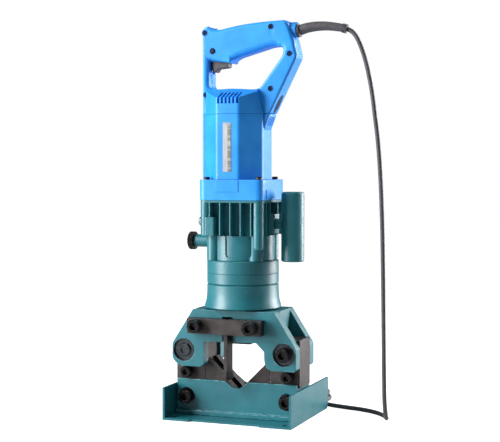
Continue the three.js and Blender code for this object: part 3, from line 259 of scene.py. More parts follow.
# Ground tool steel, chemically blackened: faint grinding lines, and edges worn to grey metal.
# Grinding lines are about 0.2 mm apart; 1.2 mm here, so that they still show.
BLACK = finish(
    "black_oxide_tool_steel", "#3A3636", "#4A4544", (18, 0.35, 0.65), (None, 0.36, 0.52), (1.2, 0.25, 0.03),
    drawn=(0.06, 1.0, 1.0), edge_wear_and_highlight=(3.5, 0.9, "#8B8B90"), Metallic=0.75,
)
# Quenched and oiled cap-screw steel: nearly black, and shinier than the ground blocks.
SCREW = finish(
    "oiled_black_screw_steel", "#141315", "#232125", (4, 0.35, 0.65), (2, 0.2, 0.34), (1.2, 0.15, 0.02),
    Metallic=0.8, Coat_Weight=0.3,
)
# Turned steel, oiled: metal with tool lines, bright, and a darker copy whose dark tones are painted shade,
# for the counterbores and the flush screw in one.
# Tool lines are about 0.1 mm apart; 0.8 mm here, so that they still show.
BRIGHT = finish(
    "bright_turned_steel", "#A7AAAD", "#C9CBCD", (9, 0.0, 1.0), (None, 0.2, 0.36), (0.8, 0.2, 0.02),
    drawn=(0.1, 1.0, 1.0), Metallic=1.0,
)
SHADED_TURNED_STEEL = finish(
    "turned_steel_painted_shade", "#34393D", "#5A6064", (9, 0.0, 1.0), (None, 0.2, 0.36), (0.8, 0.2, 0.02),
    drawn=(0.1, 1.0, 1.0), Metallic=1.0,
)
COPPER = wound_copper()
# Extruded rubber sheath: matt dark grey, with a talc-like cloudiness.
RUBBER = finish(
    "dark_grey_cord_rubber", "#36333A", "#454149", (7, 0.3, 0.7), (2, 0.5, 0.66), (1, 0.2, 0.03),
    Metallic=0.0, Sheen_Weight=0.15,
)
# Injection-moulded nylon, dyed through: plain, with a fine satin grain.
DARK = finish(
    "dark_grey_nylon", "#3B383C", "#4B474B", (8, 0.35, 0.65), (2, 0.36, 0.48), (0.8, 0.2, 0.03), Metallic=0.0,
)
NAVY = finish(
    "navy_nylon", "#0A1634", "#0F2248", (8, 0.35, 0.65), (2, 0.44, 0.56), (0.8, 0.2, 0.03), Metallic=0.0,
    Specular_IOR_Level=0.2,
)
LABEL = anodised_label()
PAPER = studio_paper()
SLOTS = {
    "teal_enamel": TEAL, "blue_plastic": BLUE, "black_steel": BLACK, "bright_steel": BRIGHT,
    "copper": COPPER, "cord_rubber": RUBBER, "dark_plastic": DARK, "navy_plastic": NAVY,
}


# ---- Stage and light ----
def softbox(name, heading, height, distance, size, power):
    """A soft rectangular light that faces the object. Its heading is in degrees, 0 at the front."""
    data = bpy.data.lights.new(name, "AREA")
    data.shape = "RECTANGLE"
    data.size, data.size_y = size
    data.energy = power
    lamp = bpy.data.objects.new(name, data)
    bpy.context.scene.collection.objects.link(lamp)
    angle = math.radians(heading)
    lamp.location = (distance * math.sin(angle), -distance * math.cos(angle), height)
    aim = Vector((0, 0, 0.27)) - lamp.location
    lamp.rotation_euler = aim.to_track_quat("-Z", "Y").to_euler()


def make_stage():
    bpy.ops.mesh.primitive_plane_add(size=14)
    floor = bpy.context.object
    floor.name = "studio_floor"
    floor.data.materials.append(PAPER)
    softbox("left_softbox", -52, 0.75, 1.7, (0.8, 1.7), 78)
    softbox("right_rear_softbox", 133, 0.7, 1.6, (0.9, 1.6), 62)
    softbox("overhead_softbox", 20, 2.2, 0.6, (1.0, 1.0), 9)
    world = bpy.data.worlds.new("white_studio")
    bpy.context.scene.world = world
    world.use_nodes = True
    tree = world.node_tree
    tree.nodes.clear()
    # Bright to the camera and dim to the object, as a white backdrop far behind it is.
    seen = add(tree, "ShaderNodeLightPath").outputs["Is Camera Ray"]
    room = add(tree, "ShaderNodeBackground", inputs={"Color": (0.92, 0.97, 1.0, 1), "Strength": 0.13})
    backdrop = add(tree, "ShaderNodeBackground", inputs={"Color": (1, 1, 1, 1), "Strength": 1.0})
    both = add(tree, "ShaderNodeMixShader", inputs={0: seen, 1: room.outputs[0], 2: backdrop.outputs[0]})
    add(tree, "ShaderNodeOutputWorld", inputs={"Surface": both.outputs[0]})
    bpy.context.scene.view_settings.view_transform = "Standard"


make_stage()


# ---- Meshes ----
def new_object(name, bm):
    mesh = bpy.data.meshes.new(name)
    bm.to_mesh(mesh)
    bm.free()
    made = bpy.data.objects.new(name, mesh)
    bpy.context.scene.collection.objects.link(made)
    return made


def closed(name, bm):
    """A new object whose faces all point outwards."""
    bmesh.ops.recalc_face_normals(bm, faces=bm.faces)
    return new_object(name, bm)


def bridge(bm, lower, upper):
    """The faces between two rings of as many points."""
    count = len(lower)
    for i in range(count):
        j = (i + 1) % count
        bm.faces.new((lower[i], lower[j], upper[j], upper[i]))


def applied(made):
    """Turns an object with its modifiers into a plain mesh object of the same name."""
    graph = bpy.context.evaluated_depsgraph_get()
    mesh = bpy.data.meshes.new_from_object(made.evaluated_get(graph), depsgraph=graph)
    made.modifiers.clear()
    old = made.data
    made.data = mesh
    bpy.data.meshes.remove(old)
    mesh.name = made.name
    return made


def cad_copy(*nodes):
    """The merged meshes of CAD nodes, with their flat faces whole again."""
    bm = bmesh.new()
    for node in nodes:
        bm.from_mesh(NODES[node].data)
    bmesh.ops.remove_doubles(bm, verts=bm.verts, dist=mm(0.002))
    bmesh.ops.dissolve_limit(bm, angle_limit=math.radians(0.5), verts=bm.verts, edges=bm.edges)
    return bm


def edge_finish(made, width, segments=2, angle=32):
    """Rounds the edges, marks the faces that make them, and evens the shading of the flats."""
    made.data.materials.clear()
    for slot in (TEAL, BLUE):
        made.data.materials.append(slot)
    if width:
        bevel = made.modifiers.new("edge", "BEVEL")
        bevel.width = mm(width)
        bevel.segments = segments
        bevel.limit_method = "ANGLE"
        bevel.angle_limit = math.radians(angle)
        bevel.material = 1
        bevel.miter_outer = "MITER_ARC"
    applied(made)
    mesh = made.data
    mesh.polygons.foreach_set("use_smooth", [True] * len(mesh.polygons))
    marked = mesh.attributes.new("edge", "FLOAT", "FACE")
    for i, polygon in enumerate(mesh.polygons):
        marked.data[i].value = float(polygon.material_index == 1)
        polygon.material_index = 0
    mesh.set_sharp_from_angle(angle=math.radians(35))
    weighted = made.modifiers.new("flats", "WEIGHTED_NORMAL")
    weighted.keep_sharp = True
    return applied(made)


def place(made, slot, replaced=(), material=None, body="frame"):
    """Gives a finished piece its slot, the CAD nodes it stands for, its material and its body."""
    made.data.materials.clear()
    made.data.materials.append(material or SLOTS[slot])
    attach(made, body)
    if replaced:
        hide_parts(*replaced)
    return made


def machined(name, nodes, slot, width, segments=2, body="frame"):
    """A piece whose CAD shape is right, with its edges broken as a machinist leaves them."""
    made = new_object(name, cad_copy(*nodes))
    return place(edge_finish(made, width, segments), slot, nodes, body=body)


def boolean(made, tool, operation="DIFFERENCE"):
    """Cuts or joins another object into this one, and removes the other."""
    step = made.modifiers.new("boolean", "BOOLEAN")
    step.operation = operation
    step.solver = "EXACT"
    step.object = tool
    applied(made)
    bpy.data.objects.remove(tool)
    return made


def rod(name, radius, start, end, sides=48):
    """A closed round bar between two points in millimetres."""
    a, b = Vector(start), Vector(end)
    turn = (b - a).to_track_quat("Z", "Y").to_matrix().to_4x4()
    bm = bmesh.new()
    bmesh.ops.create_cone(
        bm, cap_ends=True, segments=sides, radius1=mm(radius), radius2=mm(radius),
        depth=mm((b - a).length), matrix=Matrix.Translation((a + b) / 2000) @ turn,
    )
    return new_object(name, bm)


def block(name, low, high):
    bm = bmesh.new()
    size = [mm(b - a) for a, b in zip(low, high)]
    centre = [mm((a + b) / 2) for a, b in zip(low, high)]
    bmesh.ops.create_cube(bm, size=1, matrix=Matrix.Translation(centre) @ Matrix.Diagonal((*size, 1)))
    return new_object(name, bm)


def curved_corners(points, steps=8):
    """An outline of (x, z, corner reach, edge width) points with its corners curved."""
    made = []
    count = len(points)
    for i, (x, z, reach, width) in enumerate(points):
        here = Vector((x, z))
        before = Vector(points[i - 1][:2]) - here
        after = Vector(points[(i + 1) % count][:2]) - here
        r = min(reach, before.length / 2, after.length / 2)
        if r == 0:
            made.append((here, width))
            continue
        start, end = here + before.normalized() * r, here + after.normalized() * r
        for k in range(steps + 1):
            t = k / steps
            made.append((start * (1 - t) ** 2 + here * 2 * t * (1 - t) + end * t * t, width))
    return made


def inset_ring(ring, share):
    """Each point of an outline moved towards the material on its left by its width times share."""
    moved = []
    count = len(ring)
    for i, (point, width) in enumerate(ring):
        into = (point - ring[i - 1][0]).normalized()
        out = (ring[(i + 1) % count][0] - point).normalized()
        n1, n2 = Vector((-into.y, into.x)), Vector((-out.y, out.x))
        miter = (n1 + n2) / max(1 + n1.dot(n2), 0.3)
        moved.append(point + miter * width * share)
    return moved


EDGE_STEPS = 5


def soft_slab(name, outlines, y_face, y_back):
    """A plate in X and Z whose front edges are rounded by each point's own width. Outer outlines run
    counter-clockwise as seen from the front, and openings clockwise."""
    bm = bmesh.new()
    back_edges, front_edges = [], []
    for outline in outlines:
        rings = [[bm.verts.new(mm(p.x, y_back, p.y)) for p, _ in outline]]
        for k in range(EDGE_STEPS + 1):
            angle = math.pi / 2 * k / EDGE_STEPS
            flat = inset_ring(outline, 1 - math.cos(angle))
            depth = [y_face + w * (1 - math.sin(angle)) for _, w in outline]
            rings.append([bm.verts.new(mm(p.x, y, p.y)) for p, y in zip(flat, depth)])
        count = len(outline)
        for lower, upper in zip(rings, rings[1:]):
            bridge(bm, lower, upper)
        back_edges += [bm.edges.get((rings[0][i - 1], rings[0][i])) for i in range(count)]
        front_edges += [bm.edges.get((rings[-1][i - 1], rings[-1][i])) for i in range(count)]
    for edges in (back_edges, front_edges):
        bmesh.ops.triangle_fill(bm, use_beauty=True, edges=edges)
    return closed(name, bm)


def prism(name, points, axis, low, high):
    """An outline of (a, b) points extruded along X, Y or Z. a and b run along the other two axes."""
    bm = bmesh.new()
    order = {"X": (2, 0, 1), "Y": (0, 2, 1), "Z": (0, 1, 2)}[axis]
    ends = [[bm.verts.new(mm(*((*p, t)[i] for i in order))) for p in points] for t in (low, high)]
    bridge(bm, *ends)
    for end in ends:
        bm.faces.new(end)
    return closed(name, bm)


def mirrored(made, name):
    """A copy on the other side of the plane y = 0."""
    bm = bmesh.new()
    bm.from_mesh(made.data)
    bmesh.ops.scale(bm, vec=(1, -1, 1), verts=bm.verts)
    bmesh.ops.reverse_faces(bm, faces=bm.faces)
    return new_object(name, bm)


# ---- Cord ----
CORD_DIAMETER = 6.0
CORD_ROUTE = [
    (144.1, 0, 518.2), (151, 0, 515.2), (157.5, 0, 508), (163.5, 0, 496), (169.5, 0, 479),
    (175, 0, 457), (179.5, 0, 433), (183.2, 0, 405), (186.7, 0, 378), (190, 0, 340), (193, 0, 280),
    (195, 0, 200), (196, 0.5, 120), (196.5, 2, 60), (196.2, 7, 27), (195, 18, 10), (192, 33, 4.4),
    (184, 52, 3.3), (168, 70, 3.3), (144, 84, 3.3), (115, 93, 3.3), (90, 103, 3.3), (76, 115, 3.3),
    (71.2, 128, 3.3),
]
COIL_CENTRE = (30, 154)
COIL_RADIUS = 35.0
COIL_STEP = 6.0
COIL_HEIGHT = 3.15
COIL_TURNS = 5.5674
COIL_POINTS_PER_TURN = 24
COIL_START = math.radians(-32.25)
CORD_TAIL = [
    (-19.3, 160.9, 3.3), (-22.6, 151.2, 3.4), (-29.4, 143.4, 4.2), (-38.6, 138.7, 6.5), (-46, 137.7, 8.6),
    (-56, 137.7, 10.9), (-64, 137.7, 11.8),
]


def eased(s, start, end):
    """0 before start, 1 after end, smooth between."""
    t = min(max((s - start) / (end - start), 0), 1)
    return t * t * (3 - 2 * t)


def coil_points():
    """Turns that step inwards, climb on to the first layer, and come back out on top."""
    count = round(COIL_TURNS * COIL_POINTS_PER_TURN)
    points = []
    for i in range(1, count):
        s = COIL_TURNS * i / count
        inward = eased(s, 0.7, 1.0) + eased(s, 1.7, 2.0)
        outward = eased(s, 3.1, 3.4) + eased(s, 4.1, 4.4) + eased(s, 5.1, 5.4)
        radius = COIL_RADIUS + COIL_STEP * (1 + outward - inward) + 7.7 * (1 - eased(s, 0, 0.2))
        radius += 2.8 * eased(s, 5.3, 5.56)
        height = COIL_HEIGHT + CORD_DIAMETER * eased(s, 2.4, 2.7) - 5.85 * eased(s, 5.2, 5.56)
        angle = COIL_START + 2 * math.pi * s
        x, y = COIL_CENTRE
        points.append((x + radius * math.cos(angle), y + radius * math.sin(angle), height))
    return points


def make_cord():
    route = CORD_ROUTE + coil_points() + CORD_TAIL
    data = bpy.data.curves.new("power_cord", "CURVE")
    data.dimensions = "3D"
    data.bevel_depth = mm(CORD_DIAMETER / 2)
    data.bevel_resolution = 4
    data.resolution_u = 8
    data.use_fill_caps = True
    spline = data.splines.new("BEZIER")
    spline.bezier_points.add(len(route) - 1)
    for point, place_mm in zip(spline.bezier_points, route):
        point.co = mm(*place_mm)
        point.handle_left_type = point.handle_right_type = "AUTO"
    made = bpy.data.objects.new("power_cord", data)
    bpy.context.scene.collection.objects.link(made)
    data.materials.append(RUBBER)
    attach(made, "frame")
    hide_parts("cord", "cord_coil", "cord_tail")
    return made


def smooth_path(points, steps=10):
    """Points along a Catmull-Rom curve through these points."""
    ends = [Vector(p) for p in points]
    ends = [2 * ends[0] - ends[1], *ends, 2 * ends[-1] - ends[-2]]
    made = []
    for a, b, c, d in zip(ends, ends[1:], ends[2:], ends[3:]):
        for k in range(steps):
            t = k / steps
            made.append(0.5 * (2 * b + (c - a) * t + (2 * a - 5 * b + 4 * c - d) * t * t
                               + (3 * b - a - 3 * c + d) * t ** 3))
    return [*made, ends[-2]]


SWEPT_SIDES = 40


def swept(name, points, radii):
    """A closed round bar along a path in the plane y = 0, with a radius at each of its points."""
    bm = bmesh.new()
    rings = []
    for i, (point, radius) in enumerate(zip(points, radii)):
        along = (points[min(i + 1, len(points) - 1)] - points[max(i - 1, 0)]).normalized()
        across = Vector((0, 1, 0))
        up = along.cross(across)
        turns = [2 * math.pi * k / SWEPT_SIDES for k in range(SWEPT_SIDES)]
        rings.append([
            bm.verts.new((point + (across * math.cos(a) + up * math.sin(a)) * radius) / 1000) for a in turns
        ])
    for lower, upper in zip(rings, rings[1:]):
        bridge(bm, lower, upper)
    bm.faces.new(rings[0])
    bm.faces.new(rings[-1])
    return closed(name, bm)


BOOT_PATH = [
    (66, 0, 519.3), (79, 0, 518.8), (90, 0, 521.5), (103, 0, 523.1), (117, 0, 523.0),
    (131, 0, 521.2), (141, 0, 519.2), (145.5, 0, 517.8),
]


def boot_radius(x):
    """The strain relief: a root in the handle, a collar, a long taper and a ringed end."""
    if x < 77:
        return 7.4
    if x < 80.5:
        return 9.2
    if x < 139.5:
        return 7.0 - 1.7 * (x - 80.5) / 59
    return 6.2 - 0.45 * (math.sin(x * 2.9) > 0.3)


def make_boot():
    points = smooth_path(BOOT_PATH, 24)
    made = swept("cord_strain_relief", points, [boot_radius(p.x) for p in points])
    edge_finish(made, 0.35, 2, 50)
    place(made, "cord_rubber", ["cord_boot"])


cord = make_cord()
make_boot()
plug = machined("mains_plug", ["cord_plug"], "dark_plastic", 0.8)


# ---- Turned shapes and what repeats ----
def turned(name, profile, centre=(0, 0), sides=96, to_x=None):
    """A closed outline of (radius, height) points turned round an upright axis, or round an axis along
    X at the (y, z) of to_x, where a height is an x."""
    bm = bmesh.new()
    rings = []
    for radius, height in profile:
        ring = []
        for k in range(sides):
            angle = 2 * math.pi * k / sides
            a, b = radius * math.cos(angle), radius * math.sin(angle)
            spot = (height, to_x[0] + a, to_x[1] + b) if to_x else (centre[0] + a, centre[1] + b, height)
            ring.append(bm.verts.new(mm(*spot)))
        rings.append(ring)
    for i, lower in enumerate(rings):
        upper = rings[(i + 1) % len(rings)]
        if profile[i][0] > 0 or profile[(i + 1) % len(rings)][0] > 0:
            bridge(bm, lower, upper)
    bmesh.ops.remove_doubles(bm, verts=bm.verts, dist=mm(0.001))
    return closed(name, bm)


def outline_prism(name, points, low, high, axis="Z"):
    """A prism from (a, b, corner reach) points whose corners are curved."""
    flat = [p for p, _ in curved_corners([(a, b, r, 0) for a, b, r in points], 5)]
    return prism(name, flat, axis, low, high)


SOCKET_KINDS = {int: "NodeSocketInt", float: "NodeSocketFloat", tuple: "NodeSocketVector"}


def geometry_tree(name, inputs):
    """An empty geometry tree with these inputs: the tree, and the outputs of its group input."""
    tree = bpy.data.node_groups.new(name, "GeometryNodeTree")
    tree.interface.new_socket("Places", in_out="INPUT", socket_type="NodeSocketGeometry")
    for label, value in inputs.items():
        socket = tree.interface.new_socket(label, in_out="INPUT", socket_type=SOCKET_KINDS[type(value)])
        socket.default_value = value
    tree.interface.new_socket("Material", in_out="INPUT", socket_type="NodeSocketMaterial")
    tree.interface.new_socket("Geometry", in_out="OUTPUT", socket_type="NodeSocketGeometry")
    return tree, add(tree, "NodeGroupInput").outputs


def end_tree(tree, given, instanced):
    """Instances at the places, made real, with their material."""
    placed = add(
        tree, "GeometryNodeInstanceOnPoints",
        inputs={"Points": given["Places"], "Instance": instanced, "Rotation": given["Turn"]},
    )
    real = add(tree, "GeometryNodeRealizeInstances", inputs={0: placed.outputs[0]})
    painted = add(
        tree, "GeometryNodeSetMaterial", inputs={"Geometry": real.outputs[0], "Material": given["Material"]},
    )
    add(tree, "NodeGroupOutput", inputs={0: painted.outputs[0]})


def cap_screw_tree():
    """Socket-head cap screws: a knurled head with a broken rim, a socket and a shank."""
    tree, given = geometry_tree("cap_screws", {
        "Knurls": 30, "Head Radius": 0.009, "Root Radius": 0.0086, "Side Height": 0.011,
        "Rim Height": 0.001, "Rim Share": 0.9, "Socket Sides": 6, "Socket Radius": 0.0055,
        "Socket Depth": 0.006, "Shank Radius": 0.006, "Shank Length": 0.02, "Turn": (0.0, 0.0, 0.0),
    })
    star = add(
        tree, "GeometryNodeCurveStar",
        inputs={"Points": given["Knurls"], "Inner Radius": given["Root Radius"],
                "Outer Radius": given["Head Radius"], "Twist": 0.0},
    )
    foot = add(tree, "GeometryNodeFillCurve", {"mode": "NGONS"}, {0: star.outputs[0]})
    up = add(tree, "ShaderNodeCombineXYZ", inputs={"Z": 1.0})
    side = add(
        tree, "GeometryNodeExtrudeMesh", {"mode": "FACES"},
        {"Mesh": foot.outputs[0], "Offset": up.outputs[0], "Offset Scale": given["Side Height"]},
    )
    rim = add(
        tree, "GeometryNodeExtrudeMesh", {"mode": "FACES"},
        {"Mesh": side.outputs["Mesh"], "Selection": side.outputs["Top"], "Offset Scale": given["Rim Height"]},
    )
    narrowed = add(
        tree, "GeometryNodeScaleElements",
        inputs={"Geometry": rim.outputs["Mesh"], "Selection": rim.outputs["Top"],
                "Scale": given["Rim Share"]},
    )
    under = add(tree, "GeometryNodeFlipFaces", inputs={0: foot.outputs[0]})
    both = add(tree, "GeometryNodeJoinGeometry", inputs={0: [narrowed.outputs[0], under.outputs[0]]})
    head = add(tree, "GeometryNodeMergeByDistance", inputs={0: both.outputs[0], "Distance": 1e-6})
    socket = add(
        tree, "GeometryNodeMeshCylinder",
        inputs={"Vertices": given["Socket Sides"], "Radius": given["Socket Radius"],
                "Depth": given["Socket Depth"]},
    )
    top = add(tree, "ShaderNodeMath", {"operation": "ADD"}, {0: given["Side Height"], 1: given["Rim Height"]})
    at_top = add(tree, "ShaderNodeCombineXYZ", inputs={"Z": top.outputs[0]})
    moved = add(
        tree, "GeometryNodeTransform",
        inputs={"Geometry": socket.outputs["Mesh"], "Translation": at_top.outputs[0]},
    )
    holed = add(
        tree, "GeometryNodeMeshBoolean", {"operation": "DIFFERENCE", "solver": "EXACT"},
        {"Mesh 1": head.outputs[0], "Mesh 2": moved.outputs[0]},
    )
    shank = add(
        tree, "GeometryNodeMeshCylinder",
        inputs={"Vertices": 24, "Radius": given["Shank Radius"], "Depth": given["Shank Length"]},
    )
    half = add(tree, "ShaderNodeMath", {"operation": "MULTIPLY"}, {0: given["Shank Length"], 1: -0.5})
    below = add(tree, "ShaderNodeCombineXYZ", inputs={"Z": half.outputs[0]})
    shank_moved = add(
        tree, "GeometryNodeTransform",
        inputs={"Geometry": shank.outputs["Mesh"], "Translation": below.outputs[0]},
    )
    whole = add(tree, "GeometryNodeJoinGeometry", inputs={0: [shank_moved.outputs[0], holed.outputs[0]]})
    end_tree(tree, given, whole.outputs[0])
    return tree


def rounded_bar_tree():
    """Upright bars of a rounded section, such as fins, and slots when they are used to cut."""
    tree, given = geometry_tree("rounded_bars", {
        "Width": 0.002, "Depth": 0.009, "Height": 0.04, "Corner": 0.0009, "Turn": (0.0, 0.0, 0.0),
    })
    section = add(
        tree, "GeometryNodeCurvePrimitiveQuadrilateral",
        inputs={"Width": given["Width"], "Height": given["Depth"]},
    )
    rounded = add(
        tree, "GeometryNodeFilletCurve", {"mode": "POLY"},
        {"Curve": section.outputs[0], "Radius": given["Corner"], "Count": 4},
    )
    foot = add(tree, "GeometryNodeFillCurve", {"mode": "NGONS"}, {0: rounded.outputs[0]})
    up = add(tree, "ShaderNodeCombineXYZ", inputs={"Z": 1.0})
    side = add(
        tree, "GeometryNodeExtrudeMesh", {"mode": "FACES"},
        {"Mesh": foot.outputs[0], "Offset": up.outputs[0], "Offset Scale": given["Height"]},
    )
    under = add(tree, "GeometryNodeFlipFaces", inputs={0: foot.outputs[0]})
    both = add(tree, "GeometryNodeJoinGeometry", inputs={0: [side.outputs["Mesh"], under.outputs[0]]})
    bar = add(tree, "GeometryNodeMergeByDistance", inputs={0: both.outputs[0], "Distance": 1e-6})
    end_tree(tree, given, bar.outputs[0])
    return tree


CAP_SCREWS = cap_screw_tree()
ROUNDED_BARS = rounded_bar_tree()


def repeated(name, tree, places, material, **values):
    """Runs a geometry tree on points in millimetres. The values are set by their sockets' identifiers."""
    bm = bmesh.new()
    for spot in places:
        bm.verts.new(mm(*spot))
    made = new_object(name, bm)
    step = made.modifiers.new("repeat", "NODES")
    step.node_group = tree
    wanted = {"Material": material, **{k.replace("_", " "): v for k, v in values.items()}}
    for socket in tree.interface.items_tree:
        if socket.item_type == "SOCKET" and socket.in_out == "INPUT" and socket.name in wanted:
            step[socket.identifier] = wanted[socket.name]
    applied(made)
    bm = bmesh.new()
    bm.from_mesh(made.data)
    bmesh.ops.recalc_face_normals(bm, faces=bm.faces)
    bm.to_mesh(made.data)
    bm.free()
    return made


# How a screw is turned from upright.
FACE_FRONT = (math.pi / 2, 0.0, 0.0)
FACE_LEFT = (0.0, -math.pi / 2, 0.0)
FACE_UP = (0.0, 0.0, 0.0)


def screws(name, size, places, turn, replaced, material=None, slot="black_steel"):
    """Cap screws of one size, their heads' seats at the places."""
    radius, height, socket, shank, length = size
    made = repeated(
        name, CAP_SCREWS, places, material or SCREW, Head_Radius=mm(radius), Root_Radius=mm(radius * 0.965),
        Side_Height=mm(height - HEAD_RIM), Rim_Height=mm(HEAD_RIM), Rim_Share=1 - HEAD_RIM / radius,
        Socket_Radius=mm(socket), Socket_Depth=mm(height * 1.1), Shank_Radius=mm(shank),
        Shank_Length=mm(length), Knurls=30, Turn=turn,
    )
    return place(edge_finish(made, 0), slot, replaced, material or SCREW)


# Head radius, head height, socket radius, shank radius and shank length.
M12 = (9.2, 12, 5.5, 6, 22)
M12_FLUSH = (9.2, 3.2, 5.5, 6, 22)
M10 = (8, 10, 4.4, 5, 18)
M5 = (4.3, 5, 2.2, 2.5, 10)
HEAD_RIM = 0.9


BAR_SCREWS = [(-47.4, -51.1, 127.35), (30.6, -51.1, 127.35)]
# Half the distance between the two screws of a pair, and their height.
PLATE_SCREW = (71.5, 92)
COLUMN_SCREW = (72.5, 60.5)
BLOCK_SCREW = (72, 27.5)
# The depths of the plate's front and of the seats bored in the plate and in the lower block.
PLATE_FRONT, PLATE_SEAT = -37.6, -33.8
BLOCK_FRONT, BLOCK_SEAT = -26.4, -23.3


def pair(spot, depth):
    """A left and a right place at the same height and depth."""
    x, z = spot
    return [(-x, depth, z), (x, depth, z)]


def make_screws():
    left, right = pair(PLATE_SCREW, PLATE_SEAT)
    screws("bar_cap_screws", M12, BAR_SCREWS, FACE_FRONT, ["bar_screw_left", "bar_screw_right"])
    screws("plate_cap_screw", M12, [right], FACE_FRONT, ["plate_screw_right"])
    # The flush screw takes the darker copy of turned steel, whose dark tones are painted shade in its
    # counterbore.
    screws("plate_flush_screw", M12_FLUSH, [left], FACE_FRONT, ["plate_screw_left"], SHADED_TURNED_STEEL, "bright_steel")
    screws("column_cap_screws", M10, pair(COLUMN_SCREW, -21.5), FACE_FRONT,
           ["column_screw_left", "column_screw_right"])
    screws("lower_block_cap_screws", M12, pair(BLOCK_SCREW, BLOCK_SEAT), FACE_FRONT,
           ["lower_block_screw_left", "lower_block_screw_right"])
    corners = {
        "front_left": (-37, -38), "front_right": (37, -38), "rear_right": (34, 33), "rear_left": (-37.5, 36),
    }
    screws("flange_cap_screws", M5, [(x, y, 320.5) for x, y in corners.values()], FACE_UP,
           ["flange_screw_" + corner for corner in corners])


def bored_seat(name, radius, x, z, front, floor):
    """The bare metal of a counterbore: its wall and the ring that the head seats on."""
    cup = rod(name, radius, (x, front, z), (x, floor, z), 64)
    boolean(cup, rod("inside", radius - 0.7, (x, front - 1, z), (x, floor - 0.5, z), 64))
    boolean(cup, rod("hole", 6.4, (x, front - 1, z), (x, floor + 1, z), 32))
    return cup


def make_seats():
    seats = None
    for radius, spot, front, floor in (
        (15.2, PLATE_SCREW, PLATE_FRONT, PLATE_SEAT - 0.1),
        (11.4, BLOCK_SCREW, BLOCK_FRONT, BLOCK_SEAT - 0.1),
    ):
        for x, _, z in pair(spot, front):
            seat = bored_seat("bored_screw_seats", radius, x, z, front, floor)
            seats = boolean(seats, seat, "UNION") if seats else seat
    # The seats take the darker copy of turned steel, whose dark tones are painted shade inside the bores.
    place(edge_finish(seats, 0.15, 1), "bright_steel", material=SHADED_TURNED_STEEL)
    blade_screw = repeated(
        "blade_cap_screw", CAP_SCREWS, [(-1, -7.0, 104.6)], BRIGHT, Knurls=24, Head_Radius=mm(4.9),
        Root_Radius=mm(4.85), Side_Height=mm(0.1), Rim_Height=mm(0.2), Rim_Share=0.94, Socket_Sides=6,
        Socket_Radius=mm(2.2), Socket_Depth=mm(0.6), Shank_Radius=mm(2), Shank_Length=mm(3),
        Turn=FACE_FRONT,
    )
    place(edge_finish(blade_screw, 0), "bright_steel", body="ram")


make_screws()
make_seats()


# ---- Frame: tray, blocks, plates, dies ----
# Piece, CAD node, slot, and how far its edges are broken in millimetres.
MACHINED = [
    ("folded_tray", "base_tray", "teal_enamel", 0.8),
    ("lower_cross_block", "lower_block", "teal_enamel", 0.8),
    ("front_plate", "front_frame_plate", "teal_enamel", 0.8),
    ("rear_plate", "rear_frame_plate", "teal_enamel", 0.8),
    ("ram_head", "head_block", "teal_enamel", 0.8),
    ("left_column", "column_left", "black_steel", 0.7),
    ("right_column", "column_right", "black_steel", 0.7),
    ("front_die", "front_lower_die", "black_steel", 0.4),
    ("rear_die", "rear_lower_die", "black_steel", 0.4),
    ("upper_bar", "top_bar", "black_steel", 1.0),
]
for name, node, slot, width in MACHINED:
    machined(name, [node], slot, width)
machined("hold_down", ["hold_down_arm"], "black_steel", 0.4, body="hold_down")
machined("shearing_blade", ["upper_blade"], "black_steel", 0.4, body="ram")


# ---- Hydraulics ----
ECCENTRIC_X = 14.25
VALVE_HEIGHT = 237.9
def make_hydraulics():
    cylinder = turned("cylinder_barrel", [
        (21, 149.5), (50.9, 149.5), (51.9, 150.5), (51.5, 153.5), (49.6, 160), (48.8, 166), (48.5, 172),
        (48.5, 180.3), (47.3, 181.5), (40, 181.5), (40, 151.5), (21, 151.5),
    ], sides=128)
    place(edge_finish(cylinder, 0), "teal_enamel", ["hydraulic_cylinder"])
    ring = turned("reservoir_barrel", [
        (40, 181.8), (47.1, 181.8), (48.5, 183.2), (48.5, 195.6), (47.9, 196.1), (47.9, 196.5), (48.5, 197),
        (48.5, 212.8), (47.5, 213.8), (40, 213.8),
    ], sides=128)
    place(edge_finish(ring, 0), "teal_enamel", ["reservoir_ring"])
    pump = turned("pump_casting", [(0, 214.1), (43, 214.1), (43, 247.1), (0, 247.1)], sides=96)
    for x, y in ((-30, -30), (30, -30), (30, 30), (-30, 30)):
        boolean(pump, rod("boss", 9.5, (x, y, 214.1), (x, y, 247.1)), "UNION")
    hollow = edge_finish(block("hollow", (-9, -60, 218.6), (27, -20, 262)), 5, 5)
    boolean(pump, boolean(hollow, rod("wall", 41.2, (0, 0, 210), (0, 0, 270))))
    boolean(pump, rod("bore", 40, (0, 0, 213), (0, 0, 226.1), 64))
    boolean(pump, rod("eccentric_room", 11.5, (ECCENTRIC_X, 0, 231.1), (ECCENTRIC_X, 0, 248.1)))
    boolean(pump, rod("plunger_bore", 4.5, (ECCENTRIC_X, 0, 237.1), (ECCENTRIC_X, 35, 237.1), 32))
    boolean(pump, rod("valve_seat", 8.9, (-63, 0, VALVE_HEIGHT), (-38, 0, VALVE_HEIGHT)))
    place(edge_finish(pump, 0.9, 3), "teal_enamel", ["pump_body"])
    machined("valve_stem_body", ["release_valve_body"], "teal_enamel", 0.8)
    knob = repeated(
        "knurled_release_knob", CAP_SCREWS, [(-70, 0, VALVE_HEIGHT)], SCREW, Knurls=44, Head_Radius=mm(12.3),
        Root_Radius=mm(11.7), Side_Height=mm(6.8), Rim_Height=mm(1.2), Rim_Share=0.88, Socket_Sides=48,
        Socket_Radius=mm(7.5), Socket_Depth=mm(2.4), Shank_Radius=mm(3), Shank_Length=mm(22),
        Turn=FACE_LEFT,
    )
    place(edge_finish(knob, 0), "black_steel", ["release_knob"], SCREW, "release_valve")


make_hydraulics()


